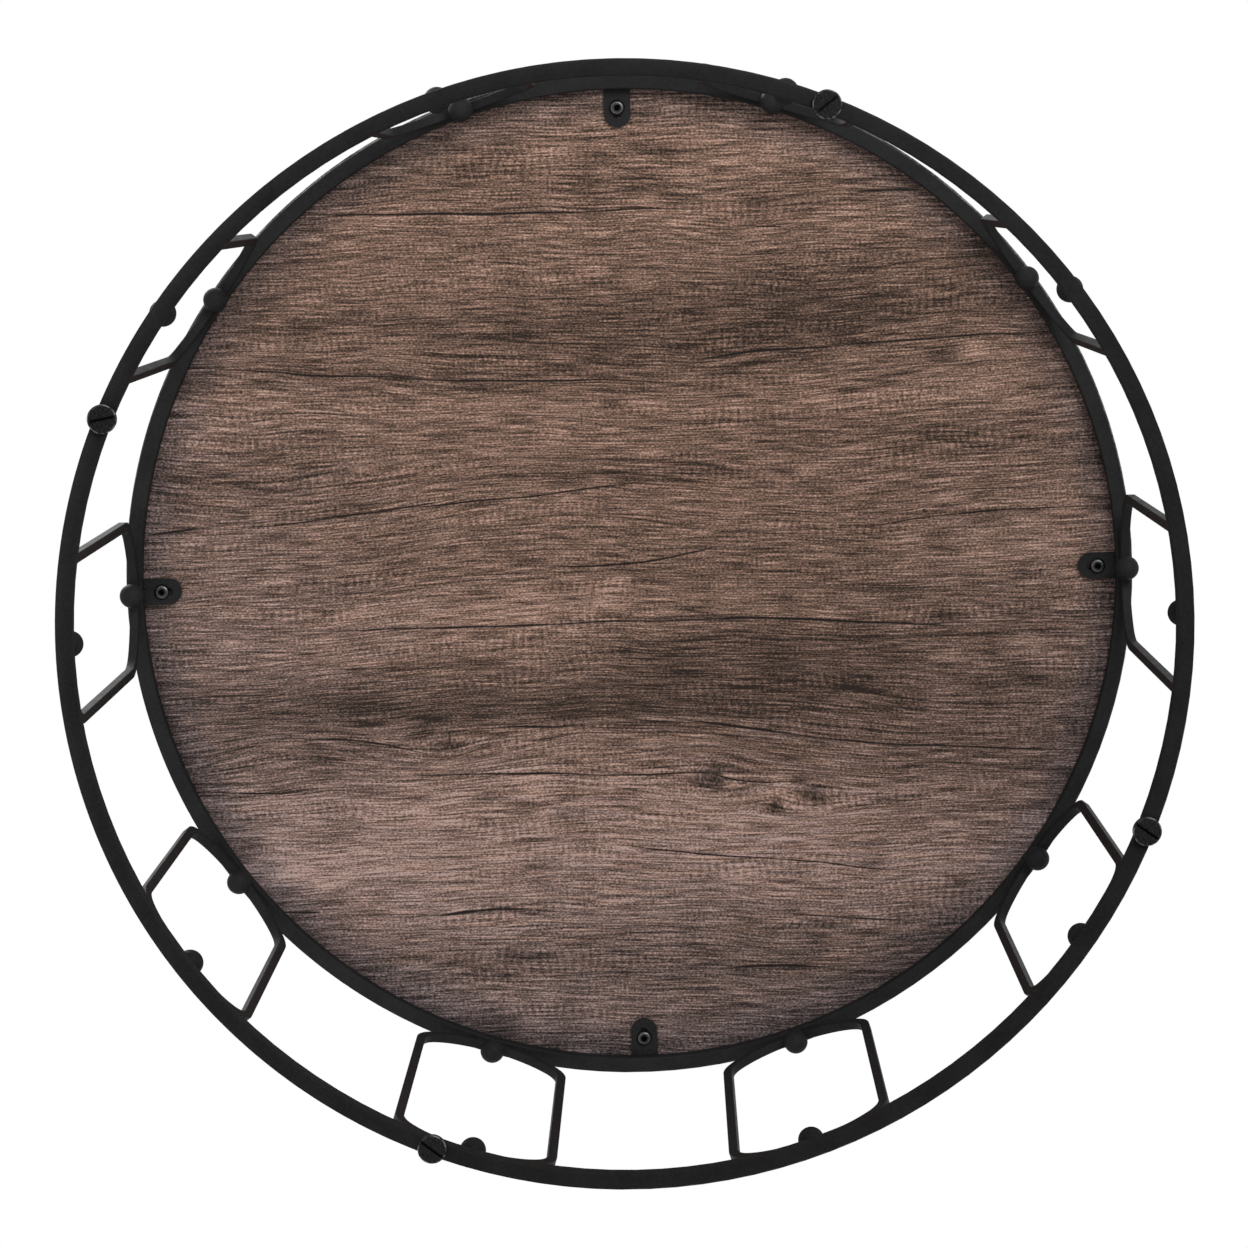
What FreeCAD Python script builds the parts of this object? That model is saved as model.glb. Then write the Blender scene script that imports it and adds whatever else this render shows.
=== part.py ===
import FreeCAD
import Part
import Sketcher
import math
import os
from FreeCAD import Placement, Rotation, Vector
from Sketcher import Constraint

# Round table with a looped steel frame
#
# Two rings of square bar lie one above the other. Ten closed loops of thinner bar stand between
# them, each in a plane tangent to the rings, and touch them only at the middle of their bowed ends.
# A ball is welded inside each bow. The round top lies on the upper ring and is held by four screws
# through slotted tabs, and the lower ring stands on four levelling glides.
# The origin is on the floor, on the table's axis, with +Z up. Sizes are in millimetres and degrees.

SIZES = {
    # rings
    "ring_radius": 400.0,  # outer radius of both rings
    "ring_bar": 12.0,  # side of the rings' square bar
    "ring_edge": 1.5,  # rounding of the bar's edges
    "frame_height": 343.0,  # clear height between the two rings
    "weld_gap": 0.1,  # left where a welded piece meets its neighbour
    # loops
    "loop_count": 10,
    "loop_width": 122.6,  # across the outside of the upright sides
    "loop_bow": 37.5,  # rise of a bowed end above its ends
    "loop_corner": 40.0,  # outer radius where a side turns into a bow
    "loop_bar": 7.0,  # side of the loops' square bar
    "loop_edge": 0.8,
    # balls
    "ball_diameter": 19.0,
    "ball_flat": 0.4,  # depth of the flat by which a ball is welded on
    # tabs
    "tab_count": 4,
    "tab_width": 21.0,
    "tab_length": 30.0,  # from the ring's inner wall to the rounded end
    "tab_thickness": 3.0,
    "tab_hole_reach": 14.5,  # from the ring's inner wall to the screw's axis
    "tab_hole_travel": 5.5,  # length of the slotted hole between its two centres
    "tab_hole_clearance": 0.4,  # slotted hole's width over the screw's diameter
    # screws
    "screw_diameter": 6.0,
    "screw_length": 12.0,
    "screw_tip": 0.7,  # chamfer at the screw's end
    "head_diameter": 12.0,
    "head_height": 3.3,
    "head_rounding": 2.7,
    "socket_width": 4.0,  # across the flats of the hexagon
    "socket_depth": 2.0,
    # inserts in the top
    "insert_diameter": 9.0,
    "insert_length": 10.0,
    "insert_recess": 0.2,  # below the underside of the top
    "insert_clearance": 0.05,
    "thread_clearance": 0.1,
    "bore_end_gap": 0.8,  # room past the end of an insert
    # top
    "top_overhang": 2.0,  # how far the top stands out past the rings
    "top_thickness": 16.0,
    "laminate_thickness": 0.8,
    "band_thickness": 2.0,
    "band_edge": 0.7,
    "glue_gap": 0.1,
    # glides
    "pad_diameter": 20.5,
    "pad_height": 5.2,
    "pad_chamfer": 1.2,
    "pad_gap": 0.3,  # between a pad and the ring at rest
    "groove_width": 2.0,  # groove for a screwdriver
    "groove_depth": 1.6,
    "stem_diameter": 6.0,
    "stem_seat": 2.7,  # depth of the stem in its pad
    "stem_tip": 0.6,
    "stem_clearance": 0.05,
    "stem_end_gap": 0.5,  # room past the end of a stem
    "hole_cover": 1.5,  # steel left above a tapped hole
    # where each glide stands round the ring, and how its groove is turned
    "glide_angle_1": 22.6,
    "glide_angle_2": 112.2,
    "glide_angle_3": 204.0,
    "glide_angle_4": 292.3,
    "groove_angle_1": 35.9,
    "groove_angle_2": 39.0,
    "groove_angle_3": -10.4,
    "groove_angle_4": -36.7,
}

GLIDES = (1, 2, 3, 4)

# lengths worked out from the sizes, as expressions
RING_MIDDLE = "(sizes.ring_radius - sizes.ring_bar / 2)"
RING_WALL = "(sizes.ring_radius - sizes.ring_bar)"
LOOP_HEIGHT = "(sizes.frame_height - 2 * sizes.weld_gap)"
BOW_RADIUS = "(((sizes.loop_width / 2) ^ 2 + sizes.loop_bow ^ 2) / (2 * sizes.loop_bow))"
BAR_MIDDLE = "(sizes.loop_bar / 2)"
SCREW_RADIUS = f"({RING_WALL} - sizes.tab_hole_reach)"
BAND_WALL = "(sizes.ring_radius + sizes.top_overhang - sizes.band_thickness)"
DISC_RADIUS = f"({BAND_WALL} - sizes.glue_gap)"
HOLE_DEPTH = "(sizes.ring_bar - sizes.hole_cover)"
PAD_BORE_FLOOR = "(sizes.pad_height - sizes.stem_seat)"
STEM_LENGTH = f"(sizes.stem_seat + sizes.pad_gap + {HOLE_DEPTH} - sizes.stem_end_gap)"

# heights above the floor
LOWER_RING = "(sizes.pad_height + sizes.pad_gap)"
LOOP_FOOT = f"({LOWER_RING} + sizes.ring_bar + sizes.weld_gap)"
LOOP_HEAD = f"({LOOP_FOOT} + {LOOP_HEIGHT})"
UPPER_RING = f"({LOOP_HEAD} + sizes.weld_gap)"
TOP_FACE = f"({UPPER_RING} + sizes.ring_bar)"
TAB_FACE = f"({TOP_FACE} - sizes.tab_thickness)"

QUARTER = math.pi / 2
ORIGIN_POINT = -1
HORIZONTAL_AXIS = -1
VERTICAL_AXIS = -2
START, END, CENTRE = range(1, 4)

document = FreeCAD.newDocument("RoundTable")
sheet = document.addObject("Spreadsheet::Sheet", "sizes")
for row, (alias, size) in enumerate(SIZES.items(), start=1):
    sheet.set(f"A{row}", alias)
    sheet.set(f"B{row}", str(size))
    sheet.setAlias(f"B{row}", alias)
document.recompute()

nodes = []


def value(expression):
    """The number that an expression of the sheet gives."""
    result = sheet.evalExpression(expression)
    return float(getattr(result, "Value", result))


def new_body(name):
    """An empty body that becomes the sub-part of that name."""
    body = document.addObject("PartDesign::Body", name)
    body.Label = name
    nodes.append(body)
    return body


def new_sketch(body, name, plane, offset="0", turn="0"):
    """A sketch on one of the body's own planes, moved along its normal and turned about it."""
    sketch = body.newObject("Sketcher::SketchObject", name)
    support = next(item for item in body.Origin.OriginFeatures if item.Role == plane)
    sketch.AttachmentSupport = [(support, "")]
    sketch.MapMode = "FlatFace"
    sketch.setExpression("AttachmentOffset.Base.z", offset)
    sketch.AttachmentOffset = Placement(Vector(0, 0, value(offset)), Rotation(Vector(0, 0, 1), 0))
    sketch.setExpression("AttachmentOffset.Rotation.Angle", turn)
    return sketch


def place(item, height, radius="0", angle="0", turn=None):
    """Stand a sub-part at a height, at a radius and angle round the table's axis, and turn it."""
    item.Placement = Placement(Vector(0, 0, 0), Rotation(Vector(0, 0, 1), 0))
    item.setExpression("Placement.Base.x", f"{radius} * cos({angle} * 1 deg)")
    item.setExpression("Placement.Base.y", f"{radius} * sin({angle} * 1 deg)")
    item.setExpression("Placement.Base.z", height)
    item.setExpression("Placement.Rotation.Angle", angle if turn is None else turn)
    document.recompute()


def bind(sketch, kind, where, name, expression):
    """Add a constraint of one length and bind it to an expression."""
    index = sketch.addConstraint(Constraint(kind, *where, value(expression)))
    sketch.renameConstraint(index, name)
    sketch.setExpression(f"Constraints.{name}", expression)


def at(sketch, element, point, name, across=None, along=None):
    """Hold a point at its distances from the sketch's two axes."""
    origin = (ORIGIN_POINT, START, element, point)
    if across == "0":
        sketch.addConstraint(Constraint("PointOnObject", element, point, VERTICAL_AXIS))
    elif across:
        bind(sketch, "DistanceX", origin, f"{name}_across", across)
    if along == "0":
        sketch.addConstraint(Constraint("PointOnObject", element, point, HORIZONTAL_AXIS))
    elif along:
        bind(sketch, "DistanceY", origin, f"{name}_along", along)


def polygon(sketch, corners):
    """A closed outline of straight lines through corners given as pairs of expressions."""
    points = [Vector(value(across), value(along), 0) for across, along in corners]
    following = points[1:] + points[:1]
    sketch.addGeometry([Part.LineSegment(*ends) for ends in zip(points, following)], False)
    count = len(points)
    joins = [Constraint("Coincident", i, END, (i + 1) % count, START) for i in range(count)]
    sketch.addConstraint(joins)
    for index, (across, along) in enumerate(corners):
        at(sketch, index, START, f"corner_{index}", across, along)


def arc(centre, radius, start, stop):
    """A circle's arc in a sketch, from one angle to another."""
    circle = Part.Circle(centre, Vector(0, 0, 1), radius)
    return Part.ArcOfCircle(circle, start, stop)


def rounded_rectangle(sketch, left, low, width, height, rounding):
    """A rectangle with four rounded corners, all its sizes given as expressions."""
    x_low, y_low, edge = value(left), value(low), value(rounding)
    x_high, y_high = x_low + value(width), y_low + value(height)
    near, far = x_low + edge, x_high - edge
    under, over = y_low + edge, y_high - edge
    geometry = [
        Part.LineSegment(Vector(near, y_low, 0), Vector(far, y_low, 0)),
        arc(Vector(far, under, 0), edge, -QUARTER, 0),
        Part.LineSegment(Vector(x_high, under, 0), Vector(x_high, over, 0)),
        arc(Vector(far, over, 0), edge, 0, QUARTER),
        Part.LineSegment(Vector(far, y_high, 0), Vector(near, y_high, 0)),
        arc(Vector(near, over, 0), edge, QUARTER, 2 * QUARTER),
        Part.LineSegment(Vector(x_low, over, 0), Vector(x_low, under, 0)),
        arc(Vector(near, under, 0), edge, 2 * QUARTER, 3 * QUARTER),
    ]
    bottom, right, top, left_side = 0, 2, 4, 6
    sketch.addGeometry(geometry, False)
    count = len(geometry)
    sketch.addConstraint([Constraint("Tangent", i, END, (i + 1) % count, START) for i in range(count)])
    sketch.addConstraint([Constraint("Horizontal", side) for side in (bottom, top)])
    sketch.addConstraint([Constraint("Vertical", side) for side in (right, left_side)])
    sketch.addConstraint([Constraint("Equal", 1, corner) for corner in (3, 5, 7)])
    bind(sketch, "Radius", (1,), "rounding", rounding)
    bind(sketch, "DistanceX", (left_side, START, right, START), "width", width)
    bind(sketch, "DistanceY", (bottom, START, top, START), "height", height)
    at(sketch, left_side, START, "left", across=left)
    at(sketch, bottom, START, "low", along=low)


def revolve(body, sketch):
    """Turn a section once round the body's Z axis."""
    feature = body.newObject("PartDesign::Revolution", "turned")
    feature.Profile = sketch
    feature.ReferenceAxis = (sketch, ["V_Axis"])
    document.recompute()


def turned(name, corners):
    """A body of revolution from the half section through its corners."""
    body = new_body(name)
    sketch = new_sketch(body, "half_section", "XZ_Plane")
    polygon(sketch, corners)
    revolve(body, sketch)
    return body


def bored(body, sketch, depth, name):
    """Cut a sketch upwards into a body, and make sure that it took something away."""
    whole = body.Shape.Volume
    feature = body.newObject("PartDesign::Pocket", name)
    feature.Profile = sketch
    feature.setExpression("Length", depth)
    feature.Reversed = True
    document.recompute()
    if not feature.Shape.Volume < whole:
        raise RuntimeError(f"{body.Label}: {name} cut nothing")
    return feature


def ring(name, height):
    """A ring bent from square bar with rounded edges."""
    body = new_body(name)
    sketch = new_sketch(body, "bar_section", "XZ_Plane")
    bar = "sizes.ring_bar"
    rounded_rectangle(sketch, RING_WALL, "0", bar, bar, "sizes.ring_edge")
    revolve(body, sketch)
    place(body, height)
    return body


def tapped_hole(body, index):
    """The blind hole in the lower ring that takes the stem of one glide."""
    angle = f"sizes.glide_angle_{index}"
    sketch = new_sketch(body, f"hole_circle_{index}", "XY_Plane", turn=angle)
    radius = "sizes.stem_diameter / 2 + sizes.stem_clearance"
    centre = Vector(value(RING_MIDDLE), 0, 0)
    sketch.addGeometry(Part.Circle(centre, Vector(0, 0, 1), value(radius)), False)
    at(sketch, 0, CENTRE, "middle", across=RING_MIDDLE, along="0")
    bind(sketch, "Radius", (0,), "hole_radius", radius)
    bored(body, sketch, HOLE_DEPTH, f"hole_{index}")


def loop_path(body):
    """The line along the middle of a loop's bar: two upright sides, two bows, four corners."""
    sketch = new_sketch(body, "path", "YZ_Plane", offset=RING_MIDDLE)
    side = "(sizes.loop_width - sizes.loop_bar) / 2"
    bow_centre_high = f"{LOOP_HEIGHT} - {BOW_RADIUS}"
    x_side, corner = value(side), value(f"sizes.loop_corner - {BAR_MIDDLE}")
    bow, low, high = value(f"{BOW_RADIUS} - {BAR_MIDDLE}"), value(BOW_RADIUS), value(bow_centre_high)
    x_corner = x_side - corner
    rise = math.sqrt((bow - corner) ** 2 - x_corner ** 2)
    turn, half = math.atan2(rise, x_corner), math.pi
    y_high, y_low = high + rise, low - rise
    geometry = [
        Part.LineSegment(Vector(x_side, y_low, 0), Vector(x_side, y_high, 0)),
        arc(Vector(x_corner, y_high, 0), corner, 0, turn),
        arc(Vector(0, high, 0), bow, turn, half - turn),
        arc(Vector(-x_corner, y_high, 0), corner, half - turn, half),
        Part.LineSegment(Vector(-x_side, y_high, 0), Vector(-x_side, y_low, 0)),
        arc(Vector(-x_corner, y_low, 0), corner, half, half + turn),
        arc(Vector(0, low, 0), bow, half + turn, 2 * half - turn),
        arc(Vector(x_corner, y_low, 0), corner, 2 * half - turn, 2 * half),
    ]
    right_side, upper_bow, left_side, lower_bow = 0, 2, 4, 6
    sketch.addGeometry(geometry, False)
    count = len(geometry)
    sketch.addConstraint([Constraint("Tangent", i, END, (i + 1) % count, START) for i in range(count)])
    sketch.addConstraint([Constraint("Vertical", side_line) for side_line in (right_side, left_side)])
    sketch.addConstraint([Constraint("Equal", 1, other) for other in (3, 5, 7)])
    sketch.addConstraint(Constraint("Equal", upper_bow, lower_bow))
    at(sketch, upper_bow, CENTRE, "upper_bow", across="0", along=bow_centre_high)
    at(sketch, lower_bow, CENTRE, "lower_bow", across="0", along=BOW_RADIUS)
    at(sketch, right_side, START, "side", across=side)
    bind(sketch, "DistanceX", (left_side, START, ORIGIN_POINT, START), "other_side", side)
    bind(sketch, "Radius", (1,), "corner_radius", f"sizes.loop_corner - {BAR_MIDDLE}")
    bind(sketch, "Radius", (upper_bow,), "bow_radius", f"{BOW_RADIUS} - {BAR_MIDDLE}")
    return sketch


def loop(index, angle):
    """A closed loop bent from square bar, standing in a plane tangent to the rings."""
    body = new_body(f"loop_{index:02d}")
    path = loop_path(body)
    section = new_sketch(body, "bar_section", "XY_Plane", offset=f"{LOOP_HEIGHT} / 2")
    bar = "sizes.loop_bar"
    near = f"{RING_MIDDLE} - {BAR_MIDDLE}"
    inside = "sizes.loop_width / 2 - sizes.loop_bar"
    rounded_rectangle(section, near, inside, bar, bar, "sizes.loop_edge")
    sweep = body.newObject("PartDesign::AdditivePipe", "bar")
    sweep.Profile = section
    sweep.Spine = path
    place(body, LOOP_FOOT, angle=angle)


def ball(name, angle, height, upper):
    """A steel ball with a small flat towards the bow that it is welded to."""
    item = document.addObject("Part::Sphere", name)
    item.Label = name
    nodes.append(item)
    item.setExpression("Radius", "sizes.ball_diameter / 2")
    flat = "asin(1 - 2 * sizes.ball_flat / sizes.ball_diameter)"
    if upper:
        item.setExpression("Angle2", flat)
    else:
        item.setExpression("Angle1", f"-{flat}")
    place(item, height, radius=RING_MIDDLE, angle=angle)


def tab(index, angle):
    """A flat tab with a rounded end and a slotted hole, on the upper ring's inner wall."""
    body = new_body(f"tab_{index}")
    sketch = new_sketch(body, "outline", "XY_Plane")
    weld, half_width = f"{RING_WALL} - sizes.weld_gap", "sizes.tab_width / 2"
    wall, half = value(weld), value(half_width)
    root = math.sqrt(wall ** 2 - half ** 2)
    spread = math.asin(half / wall)
    end_centre = f"{RING_WALL} - sizes.tab_length + {half_width}"
    end = value(end_centre)
    sketch.addGeometry([
        arc(Vector(0, 0, 0), wall, -spread, spread),
        Part.LineSegment(Vector(root, half, 0), Vector(end, half, 0)),
        arc(Vector(end, 0, 0), half, QUARTER, 3 * QUARTER),
        Part.LineSegment(Vector(end, -half, 0), Vector(root, -half, 0)),
    ], False)
    weld_end, near_side, round_end, far_side = range(4)
    sketch.addConstraint([
        Constraint("Coincident", weld_end, END, near_side, START),
        Constraint("Tangent", near_side, END, round_end, START),
        Constraint("Tangent", round_end, END, far_side, START),
        Constraint("Coincident", far_side, END, weld_end, START),
        Constraint("Coincident", weld_end, CENTRE, ORIGIN_POINT, START),
        Constraint("Horizontal", near_side),
        Constraint("Horizontal", far_side),
    ])
    bind(sketch, "Radius", (weld_end,), "weld_radius", weld)
    bind(sketch, "Radius", (round_end,), "end_radius", half_width)
    at(sketch, round_end, CENTRE, "end_centre", across=end_centre, along="0")
    plate = body.newObject("PartDesign::Pad", "plate")
    plate.Profile = sketch
    plate.setExpression("Length", "sizes.tab_thickness")
    document.recompute()
    slot = new_sketch(body, "slot", "XY_Plane")
    width = "(sizes.screw_diameter + sizes.tab_hole_clearance) / 2"
    outer, inner = SCREW_RADIUS, f"{SCREW_RADIUS} - sizes.tab_hole_travel"
    far, near, reach = value(outer), value(inner), value(width)
    slot.addGeometry([
        Part.LineSegment(Vector(near, -reach, 0), Vector(far, -reach, 0)),
        arc(Vector(far, 0, 0), reach, -QUARTER, QUARTER),
        Part.LineSegment(Vector(far, reach, 0), Vector(near, reach, 0)),
        arc(Vector(near, 0, 0), reach, QUARTER, 3 * QUARTER),
    ], False)
    slot.addConstraint([Constraint("Tangent", i, END, (i + 1) % 4, START) for i in range(4)])
    slot.addConstraint(Constraint("Horizontal", 0))
    at(slot, 1, CENTRE, "outer_centre", across=outer, along="0")
    at(slot, 3, CENTRE, "inner_centre", across=inner, along="0")
    bind(slot, "Radius", (1,), "slot_radius", width)
    bored(body, slot, "sizes.tab_thickness", "slotted_hole")
    place(body, TAB_FACE, angle=angle)


def head_rim(shape, radius, height):
    """The name of the round edge of that radius at that height."""
    for number, edge in enumerate(shape.Edges, start=1):
        curve = edge.Curve
        if isinstance(curve, Part.Circle) and math.isclose(curve.Radius, radius, rel_tol=1e-6):
            if math.isclose(curve.Center.z, height, abs_tol=1e-6):
                return f"Edge{number}"
    raise RuntimeError("the rim of the screw's head was not found")


def screw(index, angle):
    """A round-headed screw with a hexagon socket, its head under the tab."""
    shank, head = "sizes.screw_diameter / 2", "sizes.head_diameter / 2"
    length = "sizes.head_height + sizes.screw_length"
    body = turned(f"screw_{index}", [
        ("0", "0"),
        (head, "0"),
        (head, "sizes.head_height"),
        (shank, "sizes.head_height"),
        (shank, f"{length} - sizes.screw_tip"),
        (f"{shank} - sizes.screw_tip", length),
        ("0", length),
    ])
    rough = body.Tip
    dome = body.newObject("PartDesign::Fillet", "dome")
    dome.Base = (rough, [head_rim(rough.Shape, value(head), 0)])
    dome.setExpression("Radius", "sizes.head_rounding")
    document.recompute()
    whole = body.Shape.Volume
    socket = body.newObject("PartDesign::SubtractivePrism", "socket")
    socket.Polygon = 6
    socket.setExpression("Circumradius", "sizes.socket_width / sqrt(3)")
    socket.setExpression("Height", "sizes.socket_depth")
    document.recompute()
    if not body.Shape.Volume < whole:
        raise RuntimeError(f"{body.Label}: the socket cut nothing")
    place(body, f"{TAB_FACE} - sizes.head_height", radius=SCREW_RADIUS, angle=angle)


def insert(index, angle):
    """A threaded sleeve in the top that takes one screw."""
    bore, outside = "sizes.screw_diameter / 2 + sizes.thread_clearance", "sizes.insert_diameter / 2"
    length = "sizes.insert_length"
    body = turned(f"insert_{index}", [(bore, "0"), (outside, "0"), (outside, length), (bore, length)])
    place(body, f"{TOP_FACE} + sizes.insert_recess", radius=SCREW_RADIUS, angle=angle)


def disc(name, thickness, height, bore_depth=None):
    """A round layer of the top, with a bore over each tab where its depth is given."""
    body = new_body(name)
    sketch = new_sketch(body, "rim", "XY_Plane")
    sketch.addGeometry(Part.Circle(Vector(0, 0, 0), Vector(0, 0, 1), value(DISC_RADIUS)), False)
    sketch.addConstraint(Constraint("Coincident", 0, CENTRE, ORIGIN_POINT, START))
    bind(sketch, "Radius", (0,), "rim_radius", DISC_RADIUS)
    layer = body.newObject("PartDesign::Pad", "layer")
    layer.Profile = sketch
    layer.setExpression("Length", thickness)
    document.recompute()
    if bore_depth:
        circle = new_sketch(body, "bore_circle", "XY_Plane")
        radius = "sizes.insert_diameter / 2 + sizes.insert_clearance"
        centre = Vector(value(SCREW_RADIUS), 0, 0)
        circle.addGeometry(Part.Circle(centre, Vector(0, 0, 1), value(radius)), False)
        at(circle, 0, CENTRE, "bore", across=SCREW_RADIUS, along="0")
        bind(circle, "Radius", (0,), "bore_radius", radius)
        bore = bored(body, circle, bore_depth, "bore")
        pattern = body.newObject("PartDesign::PolarPattern", "bores")
        pattern.Originals = [bore]
        pattern.Axis = (circle, ["N_Axis"])
        pattern.setExpression("Occurrences", "sizes.tab_count")
        body.Tip = pattern
    place(body, height)


def edge_band():
    """The band round the rim of the top, with its edges eased."""
    body = new_body("edge_band")
    sketch = new_sketch(body, "band_section", "XZ_Plane")
    wide, tall = "sizes.band_thickness", "sizes.top_thickness"
    rounded_rectangle(sketch, BAND_WALL, "0", wide, tall, "sizes.band_edge")
    revolve(body, sketch)
    place(body, TOP_FACE)


def glide(index):
    """A levelling glide: a round pad with a groove across it, and its threaded stem."""
    where = f"sizes.glide_angle_{index}"
    rim, bore = "sizes.pad_diameter / 2", "sizes.stem_diameter / 2 + sizes.stem_clearance"
    pad = turned(f"glide_pad_{index}", [
        ("0", "0"),
        (f"{rim} - sizes.pad_chamfer", "0"),
        (rim, "sizes.pad_chamfer"),
        (rim, "sizes.pad_height"),
        (bore, "sizes.pad_height"),
        (bore, PAD_BORE_FLOOR),
        ("0", PAD_BORE_FLOOR),
    ])
    groove = new_sketch(pad, "groove", "XY_Plane")
    half_width = "sizes.groove_width / 2"
    wide, reach = value(half_width), value(rim)
    signs = ((-1, -1), (1, -1), (1, 1), (-1, 1))
    corners = [Vector(across * reach, along * wide, 0) for across, along in signs]
    sides = zip(corners, corners[1:] + corners[:1])
    groove.addGeometry([Part.LineSegment(*ends) for ends in sides], False)
    groove.addConstraint([Constraint("Coincident", i, END, (i + 1) % 4, START) for i in range(4)])
    groove.addConstraint([Constraint("Horizontal", side) for side in (0, 2)])
    groove.addConstraint([Constraint("Vertical", side) for side in (1, 3)])
    groove.addConstraint(Constraint("Symmetric", 0, START, 2, START, ORIGIN_POINT, START))
    at(groove, 2, START, "corner", across=rim, along=half_width)
    bored(pad, groove, "sizes.groove_depth", "groove_cut")
    turn = f"sizes.groove_angle_{index}"
    place(pad, "0", radius=RING_MIDDLE, angle=where, turn=turn)
    shank = "sizes.stem_diameter / 2"
    stem = turned(f"glide_stem_{index}", [
        ("0", "0"),
        (shank, "0"),
        (shank, f"{STEM_LENGTH} - sizes.stem_tip"),
        (f"{shank} - sizes.stem_tip", STEM_LENGTH),
        ("0", STEM_LENGTH),
    ])
    place(stem, PAD_BORE_FLOOR, radius=RING_MIDDLE, angle=where)


def build():
    """All the sub-parts, from the floor up."""
    for index in GLIDES:
        glide(index)
    lower_ring = ring("bottom_ring", LOWER_RING)
    for index in GLIDES:
        tapped_hole(lower_ring, index)
    ball_seat = "(sizes.loop_bar + sizes.weld_gap + sizes.ball_diameter / 2 - sizes.ball_flat)"
    for index in range(int(value("sizes.loop_count"))):
        angle = f"{index} * 360 / sizes.loop_count"
        loop(index + 1, angle)
        ball(f"lower_ball_{index + 1:02d}", angle, f"{LOOP_FOOT} + {ball_seat}", upper=False)
        ball(f"upper_ball_{index + 1:02d}", angle, f"{LOOP_HEAD} - {ball_seat}", upper=True)
    ring("top_ring", UPPER_RING)
    for index in range(int(value("sizes.tab_count"))):
        angle = f"{index} * 360 / sizes.tab_count"
        tab(index + 1, angle)
        screw(index + 1, angle)
        insert(index + 1, angle)
    laminate = "sizes.laminate_thickness"
    bore_depth = "sizes.insert_recess + sizes.insert_length + sizes.bore_end_gap"
    disc("lower_laminate", laminate, TOP_FACE, bore_depth=laminate)
    core = f"sizes.top_thickness - 2 * {laminate}"
    disc("top_core", core, f"{TOP_FACE} + {laminate}", bore_depth=f"{bore_depth} - {laminate}")
    disc("upper_laminate", laminate, f"{TOP_FACE} + sizes.top_thickness - {laminate}")
    edge_band()


def check():
    """Make sure that every object is sound before anything is written."""
    for item in document.Objects:
        if {"Invalid", "Error"} & set(item.State):
            raise RuntimeError(f"{item.Label} failed: {item.State}")
    for node in nodes:
        if node.Shape.isNull() or not node.Shape.isValid() or len(node.Shape.Solids) != 1:
            raise RuntimeError(f"{node.Label} has no sound solid")


build()
document.recompute()
check()
os.makedirs("parts", exist_ok=True)
for node in nodes:
    node.Shape.exportStep(f"parts/{node.Label}.step")
print(f"{len(nodes)} sub-parts written")
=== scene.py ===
"""Round table with a looped steel frame, seen from underneath.

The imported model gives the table's solids. This script dresses them in their finishes, adds the weld
beads and the threads of the glides, and sets up the studio and the camera. All sizes are in metres,
in the model's own frame: the origin is on the floor, on the table's axis, with +Z up.
"""

from __future__ import annotations

import logging
import math
from dataclasses import dataclass, field
from enum import Enum
from functools import reduce
from typing import Iterable, Sequence, TypeVar

import bmesh
import bpy
from mathutils import Matrix, Vector

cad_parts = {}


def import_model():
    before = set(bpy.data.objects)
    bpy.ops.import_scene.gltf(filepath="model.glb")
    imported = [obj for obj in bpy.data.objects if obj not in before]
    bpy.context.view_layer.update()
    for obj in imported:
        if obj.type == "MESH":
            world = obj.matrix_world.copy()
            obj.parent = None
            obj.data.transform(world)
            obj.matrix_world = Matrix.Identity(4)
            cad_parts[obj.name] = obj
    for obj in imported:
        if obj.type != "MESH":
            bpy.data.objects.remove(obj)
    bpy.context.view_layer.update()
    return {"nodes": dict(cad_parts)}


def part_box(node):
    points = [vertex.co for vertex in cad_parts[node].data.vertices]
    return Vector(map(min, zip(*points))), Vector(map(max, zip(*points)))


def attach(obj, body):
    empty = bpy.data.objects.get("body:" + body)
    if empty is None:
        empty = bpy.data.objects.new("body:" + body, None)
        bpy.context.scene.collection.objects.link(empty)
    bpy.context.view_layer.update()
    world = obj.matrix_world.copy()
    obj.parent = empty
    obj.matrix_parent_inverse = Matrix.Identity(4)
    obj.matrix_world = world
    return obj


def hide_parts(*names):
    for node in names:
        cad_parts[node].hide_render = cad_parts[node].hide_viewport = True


log = logging.getLogger("round_table")

MM = 0.001
IMAGE_SIDE = 1248
SENSOR_WIDTH = 36.0
FULL_TURN = math.tau

# Points of a turned profile closer than its size over this become one.
MERGE_PARTS = 100

# Vectors that pick out X, Y, the Z in which a flat vector carries a number, and the flat part.
ACROSS = (1.0, 0.0, 0.0)
ALONG = (0.0, 1.0, 0.0)
CARRIED = (0.0, 0.0, 1.0)
FLAT = (1.0, 1.0, 0.0)

# How bright each part of a colour looks, and the grey tint mixed into the wood: painted shade next to the
# ring, and a painted, more neutral light in broad patches.
LUMINANCE = (0.2126, 0.7152, 0.0722)
PAINTED_GREY_TINT = (1.0, 0.9, 1.03)

# The range that holds most of a noise's values.
MOST_NOISE = (0.3, 0.7)

NUMBER = "NodeSocketFloat"
VECTOR = "NodeSocketVector"

Colour = tuple[float, float, float]
Socket = bpy.types.NodeSocket
Feed = Socket | float | Sequence[float]


class Ring(Enum):
    """The two rings of the frame, by the names of their nodes."""

    LOWER = "bottom_ring"
    UPPER = "top_ring"


class Ray(Enum):
    """The kinds of ray that a stage material or the world can tell apart."""

    CAMERA = "Is Camera Ray"
    GLOSSY = "Is Glossy Ray"
    TRANSMISSION = "Is Transmission Ray"
    SHADOW = "Is Shadow Ray"


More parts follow.
